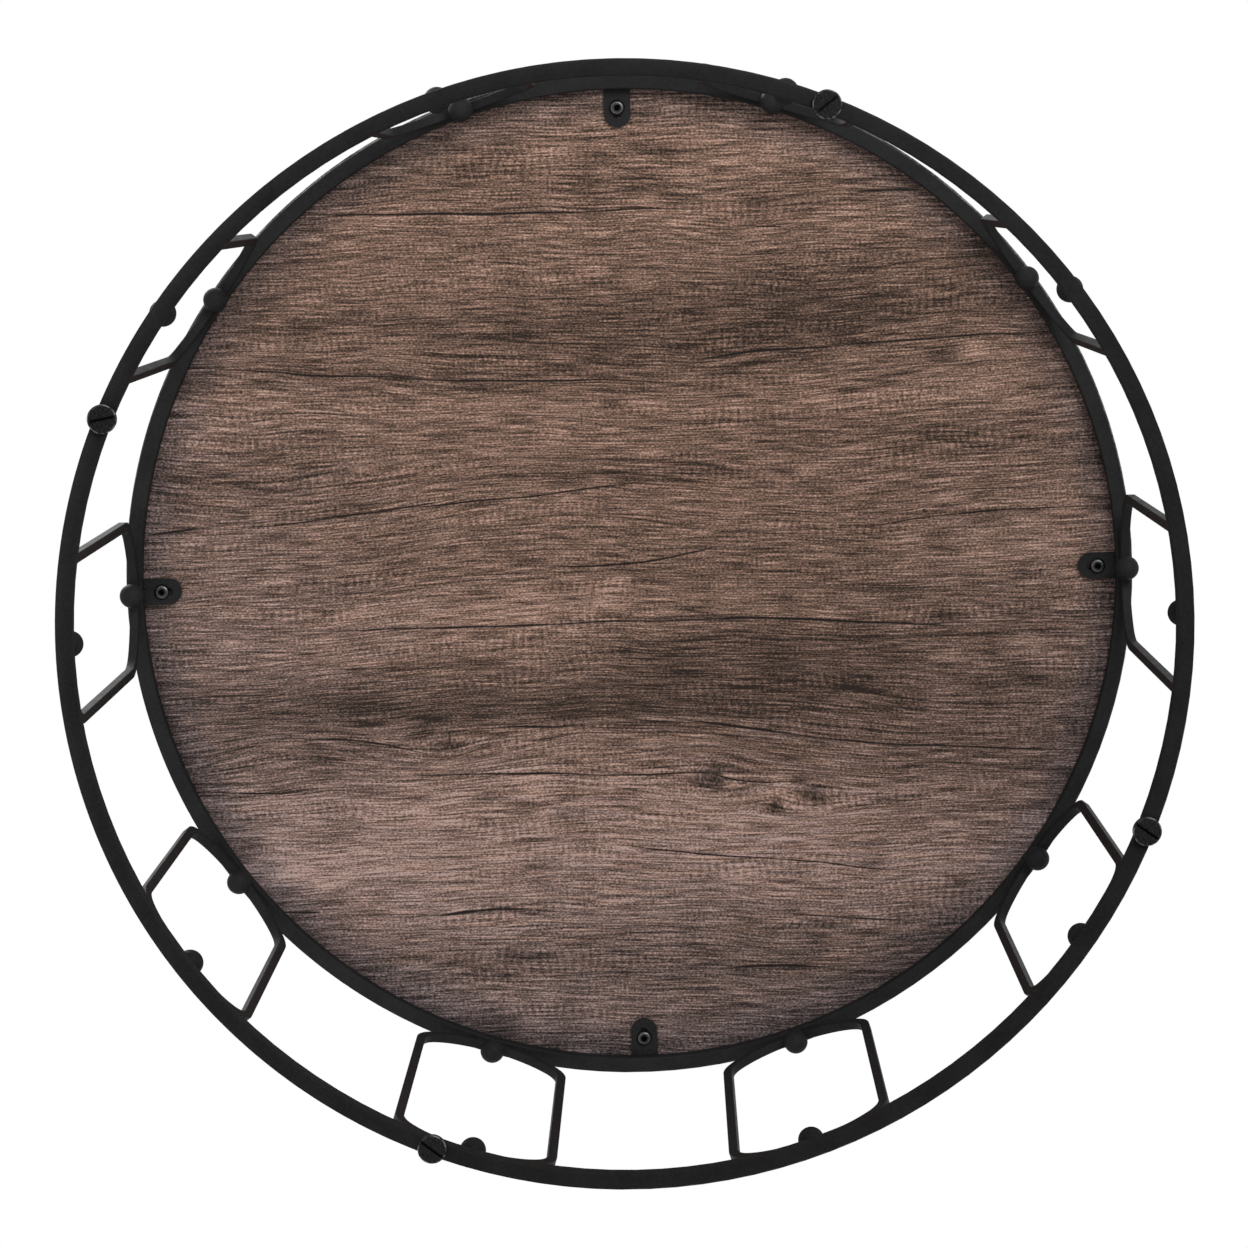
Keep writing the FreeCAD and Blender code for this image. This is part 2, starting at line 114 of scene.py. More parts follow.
class Tree:
    """A node tree with short calls that add nodes and join them."""

    def __init__(self, tree: bpy.types.NodeTree) -> None:
        """Start from an empty tree.

        Args:
            tree: The tree of a material, a world or a node group.
        """
        self.tree = tree
        tree.nodes.clear()

    def add(self, kind: str, **settings: object) -> bpy.types.Node:
        """Add a node.

        Args:
            kind: The node's type name.
            settings: Properties to set on it.

        Returns:
            The new node.
        """
        node = self.tree.nodes.new(kind)
        for name, setting in settings.items():
            setattr(node, name, setting)
        return node

    def feed(self, socket: Socket, source: Feed) -> None:
        """Link a socket to another, or set it to a plain number, vector or colour.

        Args:
            socket: The input to feed.
            source: What it gets.
        """
        if isinstance(source, bpy.types.NodeSocket):
            self.tree.links.new(source, socket)
        elif isinstance(source, (int, float)):
            socket.default_value = source
        else:
            size = len(socket.default_value)
            socket.default_value = (*source, 1.0)[:size]

    def math(self, operation: str, first: Feed, second: Feed = 0.0) -> Socket:
        """Combine one or two numbers.

        Args:
            operation: The math node's operation.
            first: The first number.
            second: The second number.

        Returns:
            The result's socket.
        """
        node = self.add("ShaderNodeMath", operation=operation)
        self.feed(node.inputs[0], first)
        self.feed(node.inputs[1], second)
        return node.outputs[0]

    def plus(self, *terms: Feed) -> Socket:
        """The sum of numbers."""
        return reduce(lambda first, second: self.math("ADD", first, second), terms)

    def times(self, *factors: Feed) -> Socket:
        """The product of numbers."""
        return reduce(lambda first, second: self.math("MULTIPLY", first, second), factors)

    def minus(self, first: Feed, second: Feed) -> Socket:
        """One number less another."""
        return self.math("SUBTRACT", first, second)

    def vector(self, operation: str, first: Feed, second: Feed = (0.0, 0.0, 0.0)) -> Socket:
        """Combine vectors.

        Args:
            operation: The vector math node's operation.
            first: The first vector.
            second: The second vector.

        Returns:
            The result: a number for a length or a dot product, otherwise a vector.
        """
        node = self.add("ShaderNodeVectorMath", operation=operation)
        self.feed(node.inputs[0], first)
        self.feed(node.inputs[1], second)
        number = operation in {"LENGTH", "DOT_PRODUCT"}
        return node.outputs["Value" if number else "Vector"]

    def split(self, vector: Feed) -> list[Socket]:
        """The X, Y and Z of a vector."""
        return list(self.fill(self.add("ShaderNodeSeparateXYZ"), Vector=vector).outputs)

    def join(self, across: Feed, along: Feed, up: Feed = 0.0) -> Socket:
        """A vector from its X, Y and Z."""
        return self.fill(self.add("ShaderNodeCombineXYZ"), X=across, Y=along, Z=up).outputs[0]

    def noise(
        self, vector: Feed, stretch: Sequence[float], detail: float = 2.0, rough: float = 0.5
    ) -> Socket:
        """Noise whose cells are counted per metre along each axis.

        Args:
            vector: Where the noise is read.
            stretch: Cells per metre along X and Y, and along Z unless the noise is flat.
            detail: How many finer layers are added.
            rough: How strong the finer layers are.

        Returns:
            A number that averages a half.
        """
        node = self.add("ShaderNodeTexNoise", noise_dimensions=f"{len(stretch)}D")
        spread = self.vector("MULTIPLY", vector, (*stretch, 0.0)[:3])
        return self.fill(node, Vector=spread, Scale=1.0, Detail=detail, Roughness=rough).outputs["Fac"]

    def between(self, source: Feed, low: Feed, high: Feed, start: float = 0.0, stop: float = 1.0) -> Socket:
        """Map a range of numbers smoothly onto another.

        Args:
            source: The number to map.
            low: The number that gives start.
            high: The number that gives stop.
            start: The result at low and below.
            stop: The result at high and above.

        Returns:
            The mapped number.
        """
        node = self.add("ShaderNodeMapRange", interpolation_type="SMOOTHSTEP")
        for socket, value in zip(node.inputs, (source, low, high, start, stop)):
            self.feed(socket, value)
        return node.outputs["Result"]

    def mix(self, factor: Feed, first: Feed, second: Feed, blend: str = "MIX") -> Socket:
        """Mix two colours.

        Args:
            factor: How much of the second.
            first: The first colour.
            second: The second colour.
            blend: The way of mixing.

        Returns:
            The mixed colour.
        """
        node = self.add("ShaderNodeMix", data_type="RGBA", blend_type=blend)
        colours = [socket for socket in node.inputs if socket.type == "RGBA"]
        self.feed(node.inputs[0], factor)
        self.feed(colours[0], first)
        self.feed(colours[1], second)
        return next(socket for socket in node.outputs if socket.type == "RGBA")

    def ramp(self, source: Feed, stops: Iterable[tuple[float, Colour]]) -> Socket:
        """Turn a number into a colour by a row of stops.

        Args:
            source: The number.
            stops: Pairs of a number and its colour, in rising order.

        Returns:
            The colour.
        """
        node = self.add("ShaderNodeValToRGB")
        elements = node.color_ramp.elements
        for index, (place, colour) in enumerate(stops):
            element = elements[index] if index < 2 else elements.new(place)
            element.position = place
            element.color = (*colour, 1.0)
        self.feed(node.inputs[0], source)
        return node.outputs["Color"]

    def bump(self, height: Feed, distance: Feed) -> Socket:
        """A normal that follows a height, where a height of 1 lies one distance up."""
        return self.fill(self.add("ShaderNodeBump"), Distance=distance, Height=height).outputs["Normal"]

    def fill(self, node: bpy.types.Node, **inputs: Feed) -> bpy.types.Node:
        """Feed a node's inputs by their names.

        Args:
            node: The node.
            inputs: What the inputs get, with underscores for spaces in their names.

        Returns:
            The same node.
        """
        for name, source in inputs.items():
            self.feed(node.inputs[name.replace("_", " ")], source)
        return node

    def use(self, effect: Effect, **inputs: Feed) -> bpy.types.Node:
        """Place an effect's node group, with what its inputs get."""
        return self.fill(self.add("ShaderNodeGroup", node_tree=effect.group()), **inputs)


class Effect:
    """A shader node group that several finishes use, built once under its name."""

    name = "effect"
    inputs: dict[str, str] = {}
    outputs: dict[str, str] = {}

    def group(self) -> bpy.types.NodeTree:
        """The group, built on its first use.

        Returns:
            The shared node group.
        """
        made = bpy.data.node_groups.get(self.name)
        if made is not None:
            return made
        made = bpy.data.node_groups.new(self.name, "ShaderNodeTree")
        for direction, sockets in (("INPUT", self.inputs), ("OUTPUT", self.outputs)):
            for name, kind in sockets.items():
                made.interface.new_socket(name=name, in_out=direction, socket_type=kind)
        tree = Tree(made)
        source = tree.add("NodeGroupInput")
        results = self.build(tree, {socket.name: socket for socket in source.outputs if socket.name})
        target = tree.add("NodeGroupOutput")
        for name, result in results.items():
            tree.feed(target.inputs[name], result)
        return made

    def build(self, tree: Tree, given: dict[str, Socket]) -> dict[str, Socket]:
        """Fill the group.

        Args:
            tree: The group's tree.
            given: The group's inputs by name.

        Returns:
            What each output gets, by name.
        """
        raise NotImplementedError


class CoatTexture(Effect):
    """The fine orange-peel texture of a sprayed and baked coat."""

    name = "coat texture"
    inputs = {"Vector": VECTOR, "Cells": NUMBER, "Depth": NUMBER, "Roughness": NUMBER}
    outputs = {"Tone": NUMBER, "Roughness": NUMBER, "Normal": VECTOR}
    cloud_cells = 35.0
    cloud_tone = 0.12
    cloud_roughness = 0.05
    speck_cells = 420.0
    speck_tone = 0.1

    def build(self, tree: Tree, given: dict[str, Socket]) -> dict[str, Socket]:
        """Fill the group.

        Args:
            tree: The group's tree.
            given: The group's inputs by name.

        Returns:
            The tone, the roughness and the normal.
        """
        place = given["Vector"]
        fine = tree.fill(tree.add("ShaderNodeTexNoise"), Vector=place, Scale=given["Cells"], Detail=2.0)
        cloud = tree.noise(place, (self.cloud_cells,) * 3, detail=3.0)
        speck = tree.noise(place, (self.speck_cells,) * 3, detail=1.0)
        clouded = tree.between(cloud, *MOST_NOISE, -self.cloud_tone, self.cloud_tone)
        tone = tree.plus(clouded, tree.between(speck, *MOST_NOISE, -self.speck_tone, self.speck_tone))
        swing = tree.between(cloud, *MOST_NOISE, -self.cloud_roughness, self.cloud_roughness)
        return {
            "Tone": tree.plus(tone, 1.0),
            "Roughness": tree.plus(given["Roughness"], swing),
            "Normal": tree.bump(tree.plus(fine.outputs["Fac"], speck), given["Depth"]),
        }


@dataclass(frozen=True)
class Noise:
    """A noise of the wood: its cells per metre along and across the grain, how many finer layers it
    has and how strong they are, and its share of the wood's tone."""

    along: float
    across: float
    detail: float = 1.0
    rough: float = 0.5
    share: float = 0.0


@dataclass(frozen=True)
class Mark:
    """How much a thin mark darkens the wood's tone, and how deep it lies in its height."""

    dark: float
    depth: float


class SawnWood(Effect):
    """Rough-sawn wood with its grain along X, as a printed and pressed decor shows it."""

    name = "sawn wood"
    inputs = {"Vector": VECTOR, "Contrast": NUMBER}
    outputs = {"Tone": NUMBER, "Height": NUMBER, "Smear": VECTOR, "Wander": NUMBER, "Uneven": NUMBER}

    sway = Noise(1.4, 2.2)
    sway_range = (0.25, 0.75)
    sway_lift = 9.0 * MM
    ripple = Noise(9.0, 22.0)
    ripple_range = (0.2, 0.8)
    ripple_lift = 1.8 * MM
    layers = {
        "bands": Noise(2.4, 15.0, 4.0, 0.6, 0.52),
        "cloud": Noise(15.0, 40.0, 3.0, 0.7, 0.08),
        "streaks": Noise(13.0, 220.0, 2.0, 0.75, 0.18),
        "strands": Noise(26.0, 380.0, 1.0, 0.5, 0.28),
        "fibres": Noise(30.0, 760.0, 1.0, 0.6, 1.15),
        "dashes": Noise(110.0, 520.0, 0.0, 0.5, 0.2),
        "flecks": Noise(520.0, 820.0, 0.0, 0.5, 0.75),
    }
    base_tone = 0.505
    hair = Noise(2.4, 85.0, 1.0, 0.4)
    hair_width = 0.03
    split = Noise(8.0, 190.0)
    split_width = 0.07
    torn = Noise(3.6, 26.0)
    torn_range = (0.42, 0.58)
    curl = Noise(110.0, 210.0)
    curl_width = 0.03
    crazed = Noise(6.0, 11.0)
    crazed_range = (0.56, 0.66)
    marks = {
        "ticks": Mark(0.09, 0.15),
        "hairs": Mark(0.28, 0.5),
        "splits": Mark(0.16, 0.6),
        "curls": Mark(0.22, 0.6),
    }
    fibre_height = 0.6
    streak_height = 0.4
    smear_reach = 2.2
    thin_range = (0.35, 0.6)
    thinnest = 0.5
    tick_pitch = 6.6 * MM
    tick_drift = Noise(22.0, 60.0)
    tick_drift_reach = 9.0
    tick_bands = Noise(6.0, 62.0)
    tick_bands_range = (0.56, 0.66)
    fine_ticks = Noise(420.0, 60.0)
    fine_ticks_range = (0.35, 0.65)
    fine_spread = Noise(7.0, 13.0)
    fine_spread_range = (0.46, 0.6)
    fine_share = 0.28

    def build(self, tree: Tree, given: dict[str, Socket]) -> dict[str, Socket]:
        """Fill the group.

        Args:
            tree: The group's tree.
            given: The group's inputs by name.

        Returns:
            The tone, which averages a half, the height, the raggedness of the patches' edges, and
            how the cracks wander and thin out.
        """
        place = given["Vector"]
        ripple = self.read(tree, place, self.ripple)
        sway = self.read(tree, place, self.sway)
        lift = tree.plus(
            tree.between(sway, *self.sway_range, -self.sway_lift, self.sway_lift),
            tree.between(ripple, *self.ripple_range, -self.ripple_lift, self.ripple_lift),
        )
        grain = tree.vector("ADD", place, tree.join(0.0, lift))
        layers = {name: self.read(tree, grain, noise) for name, noise in self.layers.items()}
        marks = self.lines(tree, place, grain)
        tone: Feed = self.base_tone
        for name, noise in self.layers.items():
            swing = tree.times(tree.minus(layers[name], 0.5), noise.share)
            tone = tree.plus(tone, swing)
        fibres = tree.times(layers["fibres"], self.fibre_height)
        height = tree.plus(fibres, tree.times(layers["streaks"], self.streak_height))
        for name, mark in self.marks.items():
            tone = tree.minus(tone, tree.times(marks[name], mark.dark))
            height = tree.minus(height, tree.times(marks[name], mark.depth))
        swing = tree.times(tree.minus(tone, 0.5), given["Contrast"])
        ragged = [tree.minus(layers[name], 0.5) for name in ("cloud", "streaks")]
        return {
            "Tone": tree.plus(swing, 0.5),
            "Height": height,
            "Smear": tree.join(*(tree.times(part, self.smear_reach) for part in ragged)),
            "Wander": tree.between(ripple, *self.ripple_range, -1.0, 1.0),
            "Uneven": tree.between(layers["cloud"], *self.thin_range, self.thinnest, 1.0),
        }

    @staticmethod
    def read(tree: Tree, place: Feed, noise: Noise) -> Socket:
        """A noise read at a place."""
        return tree.noise(place, (noise.along, noise.across), noise.detail, noise.rough)

    def contour(self, tree: Tree, place: Feed, noise: Noise, width: float) -> Socket:
        """A mask of the thin unbroken lines where a noise passes through its middle."""
        away = tree.math("ABSOLUTE", tree.minus(self.read(tree, place, noise), 0.5))
        return tree.between(away, 0.0, width, 1.0, 0.0)

    def lines(self, tree: Tree, place: Feed, grain: Feed) -> dict[str, Socket]:
        """The masks of the wood's thin marks: hairs where it isn't torn, splits where it is, curls
        where it is crazed, and the saw's ticks.

        Args:
            tree: The group's tree.
            place: The plain coordinates.
            grain: The coordinates bent with the grain.

        Returns:
            The masks by name.
        """
        torn = tree.between(self.read(tree, grain, self.torn), *self.torn_range)
        whole = tree.minus(1.0, torn)
        crazed = tree.between(self.read(tree, place, self.crazed), *self.crazed_range)
        hairs = self.contour(tree, grain, self.hair, self.hair_width)
        splits = self.contour(tree, grain, self.split, self.split_width)
        curls = self.contour(tree, grain, self.curl, self.curl_width)
        return {
            "ticks": self.ticks(tree, place, grain),
            "hairs": tree.times(hairs, whole),
            "splits": tree.times(splits, torn),
            "curls": tree.times(curls, crazed),
        }

    def ticks(self, tree: Tree, place: Feed, grain: Feed) -> Socket:
        """Even saw ticks across the grain in short bands, with finer ones between them.

        Args:
            tree: The group's tree.
            place: The plain coordinates.
            grain: The coordinates bent with the grain.

        Returns:
            The marks, from -1 to 1.
        """
        turn = tree.times(tree.vector("DOT_PRODUCT", place, ACROSS), FULL_TURN / self.tick_pitch)
        drift = tree.times(self.read(tree, place, self.tick_drift), self.tick_drift_reach)
        even = tree.math("SINE", tree.plus(turn, drift))
        bands = tree.between(self.read(tree, grain, self.tick_bands), *self.tick_bands_range)
        fine = tree.between(self.read(tree, place, self.fine_ticks), *self.fine_ticks_range, -1.0, 1.0)
        spread = self.read(tree, place, self.fine_spread)
        spread = tree.between(spread, *self.fine_spread_range, 0.0, self.fine_share)
        return tree.plus(tree.times(even, bands), tree.times(fine, spread))


class TonePatch(Effect):
    """A long soft patch of a darker or paler tone. The vector is flat and carries the tone as its Z,
    which keeps a long row of patches within what the renderer can hold at once."""

    name = "tone patch"
    inputs = {"Vector": VECTOR, "Smear": VECTOR, "Place": VECTOR, "Reach": VECTOR, "Amount": NUMBER}
    outputs = {"Vector": VECTOR}

    def build(self, tree: Tree, given: dict[str, Socket]) -> dict[str, Socket]:
        """Fill the group.

        Args:
            tree: The group's tree.
            given: The group's inputs by name.

        Returns:
            The vector with the patch's share added to the tone that it carries.
        """
        away = tree.vector("SUBTRACT", given["Vector"], given["Place"])
        share = tree.vector("ADD", tree.vector("DIVIDE", away, given["Reach"]), given["Smear"])
        reach = tree.vector("DOT_PRODUCT", share, tree.vector("MULTIPLY", share, FLAT))
        fade = tree.math("EXPONENT", tree.times(reach, -1.0))
        added = tree.join(0.0, 0.0, tree.times(fade, given["Amount"]))
        return {"Vector": tree.vector("ADD", given["Vector"], added)}


class KnotMark(Effect):
    """A knot: the grain runs round it and its middle is dark."""

    name = "knot"
    inputs = {"Vector": VECTOR, "Place": VECTOR, "Size": NUMBER}
    outputs = {"Vector": VECTOR, "Dark": NUMBER}
    reach_across = 2.6
    reach_along = 1.3
    bend = 0.6
    heart = 0.25
    wobble_cells = (120.0, 150.0)
    ring_turns = 15.0
    ring_tone = 0.22

    def build(self, tree: Tree, given: dict[str, Socket]) -> dict[str, Socket]:
        """Fill the group.

        Args:
            tree: The group's tree.
            given: The group's inputs by name.

        Returns:
            The vector bent round the knot, and a mask of its dark middle and rings.
        """
        size = given["Size"]
        away = tree.vector("SUBTRACT", given["Vector"], given["Place"])
        across = tree.vector("DOT_PRODUCT", away, ACROSS)
        along = tree.vector("DOT_PRODUCT", away, ALONG)
        long = tree.math("DIVIDE", across, tree.times(size, self.reach_across))
        wide = tree.math("DIVIDE", along, tree.times(size, self.reach_along))
        reach = tree.plus(tree.times(long, long), tree.times(wide, wide))
        pull = tree.math("EXPONENT", tree.times(reach, -1.0))
        bend = tree.times(along, pull, -self.bend)
        wobble = tree.noise(given["Vector"], self.wobble_cells, detail=2.0)
        uneven = tree.times(tree.minus(wobble, 0.5), size)
        ragged = tree.plus(tree.vector("LENGTH", away), uneven)
        core = tree.between(ragged, tree.times(size, self.heart), size, 1.0, 0.0)
        turns = tree.math("SINE", tree.times(tree.math("DIVIDE", ragged, size), self.ring_turns))
        rings = tree.times(turns, pull, self.ring_tone)
        return {
            "Vector": tree.vector("ADD", given["Vector"], tree.join(0.0, bend)),
            "Dark": tree.plus(core, rings),
        }


class CrackMark(Effect):
    """A fine crack that bows and wanders between two points and thins out towards both. The vector is
    flat and carries the mask of all the cracks as its Z."""

    name = "crack"
    inputs = {
        "Vector": VECTOR,
        "Wander": NUMBER,
        "Uneven": NUMBER,
        "Start": VECTOR,
        "Run": VECTOR,
        "Sag": NUMBER,
        "Width": NUMBER,
    }
    outputs = {"Vector": VECTOR}
    taper_scale = 4.0
    wander = 1.2 * MM
    bluntness = 0.4
    softness = 0.5

    def build(self, tree: Tree, given: dict[str, Socket]) -> dict[str, Socket]:
        """Fill the group.

        Args:
            tree: The group's tree.
            given: The group's inputs by name.

        Returns:
            The vector with the crack added to the mask that it carries.
        """
        away = tree.vector("SUBTRACT", given["Vector"], given["Start"])
        length = tree.vector("LENGTH", given["Run"])
        direction = tree.vector("NORMALIZE", given["Run"])
        share = tree.math("DIVIDE", tree.vector("DOT_PRODUCT", away, direction), length)
        side = tree.vector("DOT_PRODUCT", away, tree.vector("CROSS_PRODUCT", CARRIED, direction))
        rest = tree.minus(1.0, share)
        taper = tree.math("MAXIMUM", tree.times(share, rest, self.taper_scale), 0.0)
        side = tree.minus(side, tree.times(taper, given["Sag"]))
        side = tree.plus(side, tree.times(given["Wander"], self.wander))
        half = tree.times(tree.math("POWER", taper, self.bluntness), given["Uneven"], given["Width"])
        inside = tree.minus(half, tree.math("ABSOLUTE", side))
        soft = tree.times(given["Width"], self.softness)
        dark = tree.between(inside, tree.times(soft, -1.0), soft)
        return {"Vector": tree.vector("MAXIMUM", given["Vector"], tree.join(-1.0, -1.0, dark))}


def new_material(name: str) -> tuple[bpy.types.Material, Tree, bpy.types.Node]:
    """A material with a Principled shader joined to its output.

    Args:
        name: The material's name.

    Returns:
        The material, its tree and its shader.
    """
    material = bpy.data.materials.new(name)
    material.use_nodes = True
    tree = Tree(material.node_tree)
    shader = tree.add("ShaderNodeBsdfPrincipled")
    tree.fill(tree.add("ShaderNodeOutputMaterial"), Surface=shader.outputs[0])
    return material, tree, shader


def object_place(tree: Tree) -> Socket:
    """The Object coordinates in a material's tree."""
    return tree.add("ShaderNodeTexCoord").outputs["Object"]


@dataclass(frozen=True)
class PowderCoat:
    """A sprayed and baked coat on metal, dull, with a fine texture."""

    name: str
    colour: Colour
    roughness: float = 0.55
    cells: float = 900.0
    depth: float = 0.05 * MM
    specular: float = 0.055

    def material(self) -> bpy.types.Material:
        """The coat as a material.

        Returns:
            The new material.
        """
        material, tree, shader = new_material(self.name)
        values = {"Cells": self.cells, "Depth": self.depth, "Roughness": self.roughness}
        texture = tree.use(CoatTexture(), Vector=object_place(tree), **values).outputs
        tree.fill(
            shader,
            Base_Color=self.shade(tree, texture["Tone"]),
            Roughness=texture["Roughness"],
            Normal=texture["Normal"],
            Specular_IOR_Level=self.specular,
        )
        return material

    def shade(self, tree: Tree, tone: Socket) -> Socket:
        """The coat's colour under its uneven tone."""
        return tree.mix(1.0, self.colour, tree.join(tone, tone, tone), blend="MULTIPLY")


@dataclass(frozen=True)
class WornCoat(PowderCoat):
    """A coat that is paler in a ring round an upright axis, as on a glide's rim: partly rubbed and partly a
    painted highlight, with painted shade in its groove.
    """

    axis: tuple[float, float] = (0.0, 0.0)
    rim: float = 10.0 * MM
    rim_width: float = 1.1 * MM
    worn_and_highlit: Colour = (0.24, 0.24, 0.242)
    face_wear: float = 0.18
    wall_wear: float = 0.1
    groove_start: float = 0.3 * MM
    groove_painted_shade: float = 0.75
    rim_fade: float = 0.3
    wall_fade: float = 1.6
    patch_cells: float = 260.0
    patch_range: tuple[float, float] = (0.42, 0.6)
    scuff_cells: float = 900.0
    scuff_range: tuple[float, float] = (0.45, 0.75)

    def shade(self, tree: Tree, tone: Socket) -> Socket:
        """The coat's colour with its paler rim, partly wear and partly a painted highlight, its scuffed face
        and painted shade in its groove.

        Args:
            tree: The material's tree.
            tone: The coat's uneven tone.

        Returns:
            The colour.
        """
        coat = super().shade(tree, tone)
        place = tree.vector("SUBTRACT", object_place(tree), (*self.axis, 0.0))
        across, along, up = tree.split(place)
        reach = tree.vector("LENGTH", tree.join(across, along))
        # Painted shade: the groove, above the pad's face and inside the rim, is painted black.
        painted_groove_mask = tree.between(up, self.groove_start, 2 * self.groove_start, 0.0, self.groove_painted_shade)
        inside = tree.between(reach, self.rim - 2 * self.rim_width, self.rim - self.rim_width, 1.0, 0.0)
        # The pale ring at the rim is partly wear and partly a painted highlight of the rim's edge.
        ring = tree.between(reach, self.rim - self.rim_width, self.rim - self.rim_fade * self.rim_width)
        wall = tree.between(up, self.rim_width, self.wall_fade * self.rim_width, 1.0, self.wall_wear)
        patchy = tree.between(tree.noise(place, (self.patch_cells,) * 3, detail=3.0), *self.patch_range)
        scuffs = tree.between(tree.noise(place, (self.scuff_cells,) * 3, detail=2.0), *self.scuff_range)
        wear_and_highlight = tree.plus(tree.times(ring, wall, patchy), tree.times(scuffs, self.face_wear))
        rubbed = tree.mix(wear_and_highlight, coat, self.worn_and_highlit)
        return tree.mix(tree.times(painted_groove_mask, inside), rubbed, (0.0, 0.0, 0.0))


@dataclass(frozen=True)
class SocketHead:
    """Black screws' heads, coloured by the distance from each screw's axis: painted shade in the recess, a
    duller face, a painted highlight in a ring round the rounded rim and a painted shadow at the head's edge.
    The four screws stand where the model's X and Y axes cross one circle."""

    name: str
    circle: float
    head: float
    stops: tuple[tuple[float, Colour], ...] = (
        # The recess, out to 0.38 of the head's radius, is painted near black: painted shade.
        (0.0, (0.003, 0.003, 0.003)),
        (0.38, (0.003, 0.003, 0.003)),
        (0.45, (0.045, 0.045, 0.046)),
        (0.60, (0.055, 0.055, 0.056)),
        # The pale ring from 0.70 to 0.80 is a painted highlight of the rounded rim.
        (0.70, (0.150, 0.150, 0.152)),
        (0.80, (0.120, 0.120, 0.122)),
        # The dark edge at 0.90 is a painted shadow round the head.
        (0.90, (0.020, 0.020, 0.020)),
    )
    roughness: tuple[float, float] = (0.3, 0.5)
    mark_cells: float = 700.0
    mark_swing: float = 0.03
    mark_depth: float = 0.01 * MM

    def material(self) -> bpy.types.Material:
        """The heads' finish as a material.

        Returns:
            The new material.
        """
        material, tree, shader = new_material(self.name)
        place = object_place(tree)
        across, along, _ = tree.split(tree.vector("ABSOLUTE", place))
        out = tree.minus(tree.math("MAXIMUM", across, along), self.circle)
        reach = tree.vector("LENGTH", tree.join(out, tree.math("MINIMUM", across, along)))
        marks = tree.noise(place, (self.mark_cells,) * 3, detail=2.0)
        share = tree.math("DIVIDE", reach, self.head)
        share = tree.plus(share, tree.between(marks, *MOST_NOISE, -self.mark_swing, self.mark_swing))
        tree.fill(
            shader,
            Base_Color=tree.ramp(share, self.stops),
            Roughness=tree.between(marks, *MOST_NOISE, *self.roughness),
            Normal=tree.bump(marks, self.mark_depth),
            Metallic=1.0,
        )
        return material


@dataclass(frozen=True)
class BareMetal:
    """Plated or machined metal with a brushed or dull surface."""

    name: str
    colour: Colour
    roughness: float
    roughness_swing: tuple[float, float] = (-0.08, 0.1)
    mark_cells: float = 600.0
    mark_depth: float = 0.01 * MM
    stain_cells: float = 90.0
    stain_range: tuple[float, float] = (0.35, 0.7)
    stained: float = 0.7

    def material(self) -> bpy.types.Material:
        """The metal as a material.

        Returns:
            The new material.
        """
        material, tree, shader = new_material(self.name)
        place = object_place(tree)
        marks = tree.noise(place, (self.mark_cells,) * 3, detail=3.0)
        stain = tree.between(tree.noise(place, (self.stain_cells,) * 3, detail=3.0), *self.stain_range)
        darker = tuple(self.stained * part for part in self.colour)
        span = (self.roughness + swing for swing in self.roughness_swing)
        tree.fill(
            shader,
            Base_Color=tree.mix(stain, self.colour, darker),
            Roughness=tree.between(marks, *MOST_NOISE, *span),
            Normal=tree.bump(marks, self.mark_depth),
            Metallic=1.0,
        )
        return material


@dataclass(frozen=True)
class Knot:
    """A knot in the decor, placed from the table's axis, in millimetres."""

    across: float
    along: float
    size: float
    depth: float = 1.0


@dataclass(frozen=True)
class Crack:
    """A crack in the decor between two points, placed from the table's axis, in millimetres."""

    start: tuple[float, float]
    end: tuple[float, float]
    sag: float = 0.0
    width: float = 0.8


@dataclass(frozen=True)
class Patch:
    """A long soft patch, placed from the table's axis in millimetres, with its tone."""

    across: float
    along: float
    long: float
    wide: float
    amount: float


Marks = TypeVar("Marks", Knot, Crack, Patch)


def rows(kind: type[Marks], *values: Sequence) -> tuple[Marks, ...]:
    """Marks of one kind, each from a row of its values."""
    return tuple(kind(*row) for row in values)


@dataclass(frozen=True)
class WoodTones:
    """The colours of a wood decor, from its cracks to its palest fibres."""

    crack: Colour = (0.012, 0.009, 0.008)
    stops: tuple[tuple[float, Colour], ...] = (
        (0.0, (0.026, 0.0165, 0.012)),
        (0.25, (0.082, 0.051, 0.037)),
        (0.5, (0.170, 0.103, 0.075)),
        (0.75, (0.320, 0.198, 0.148)),
        (1.0, (0.540, 0.345, 0.265)),
    )


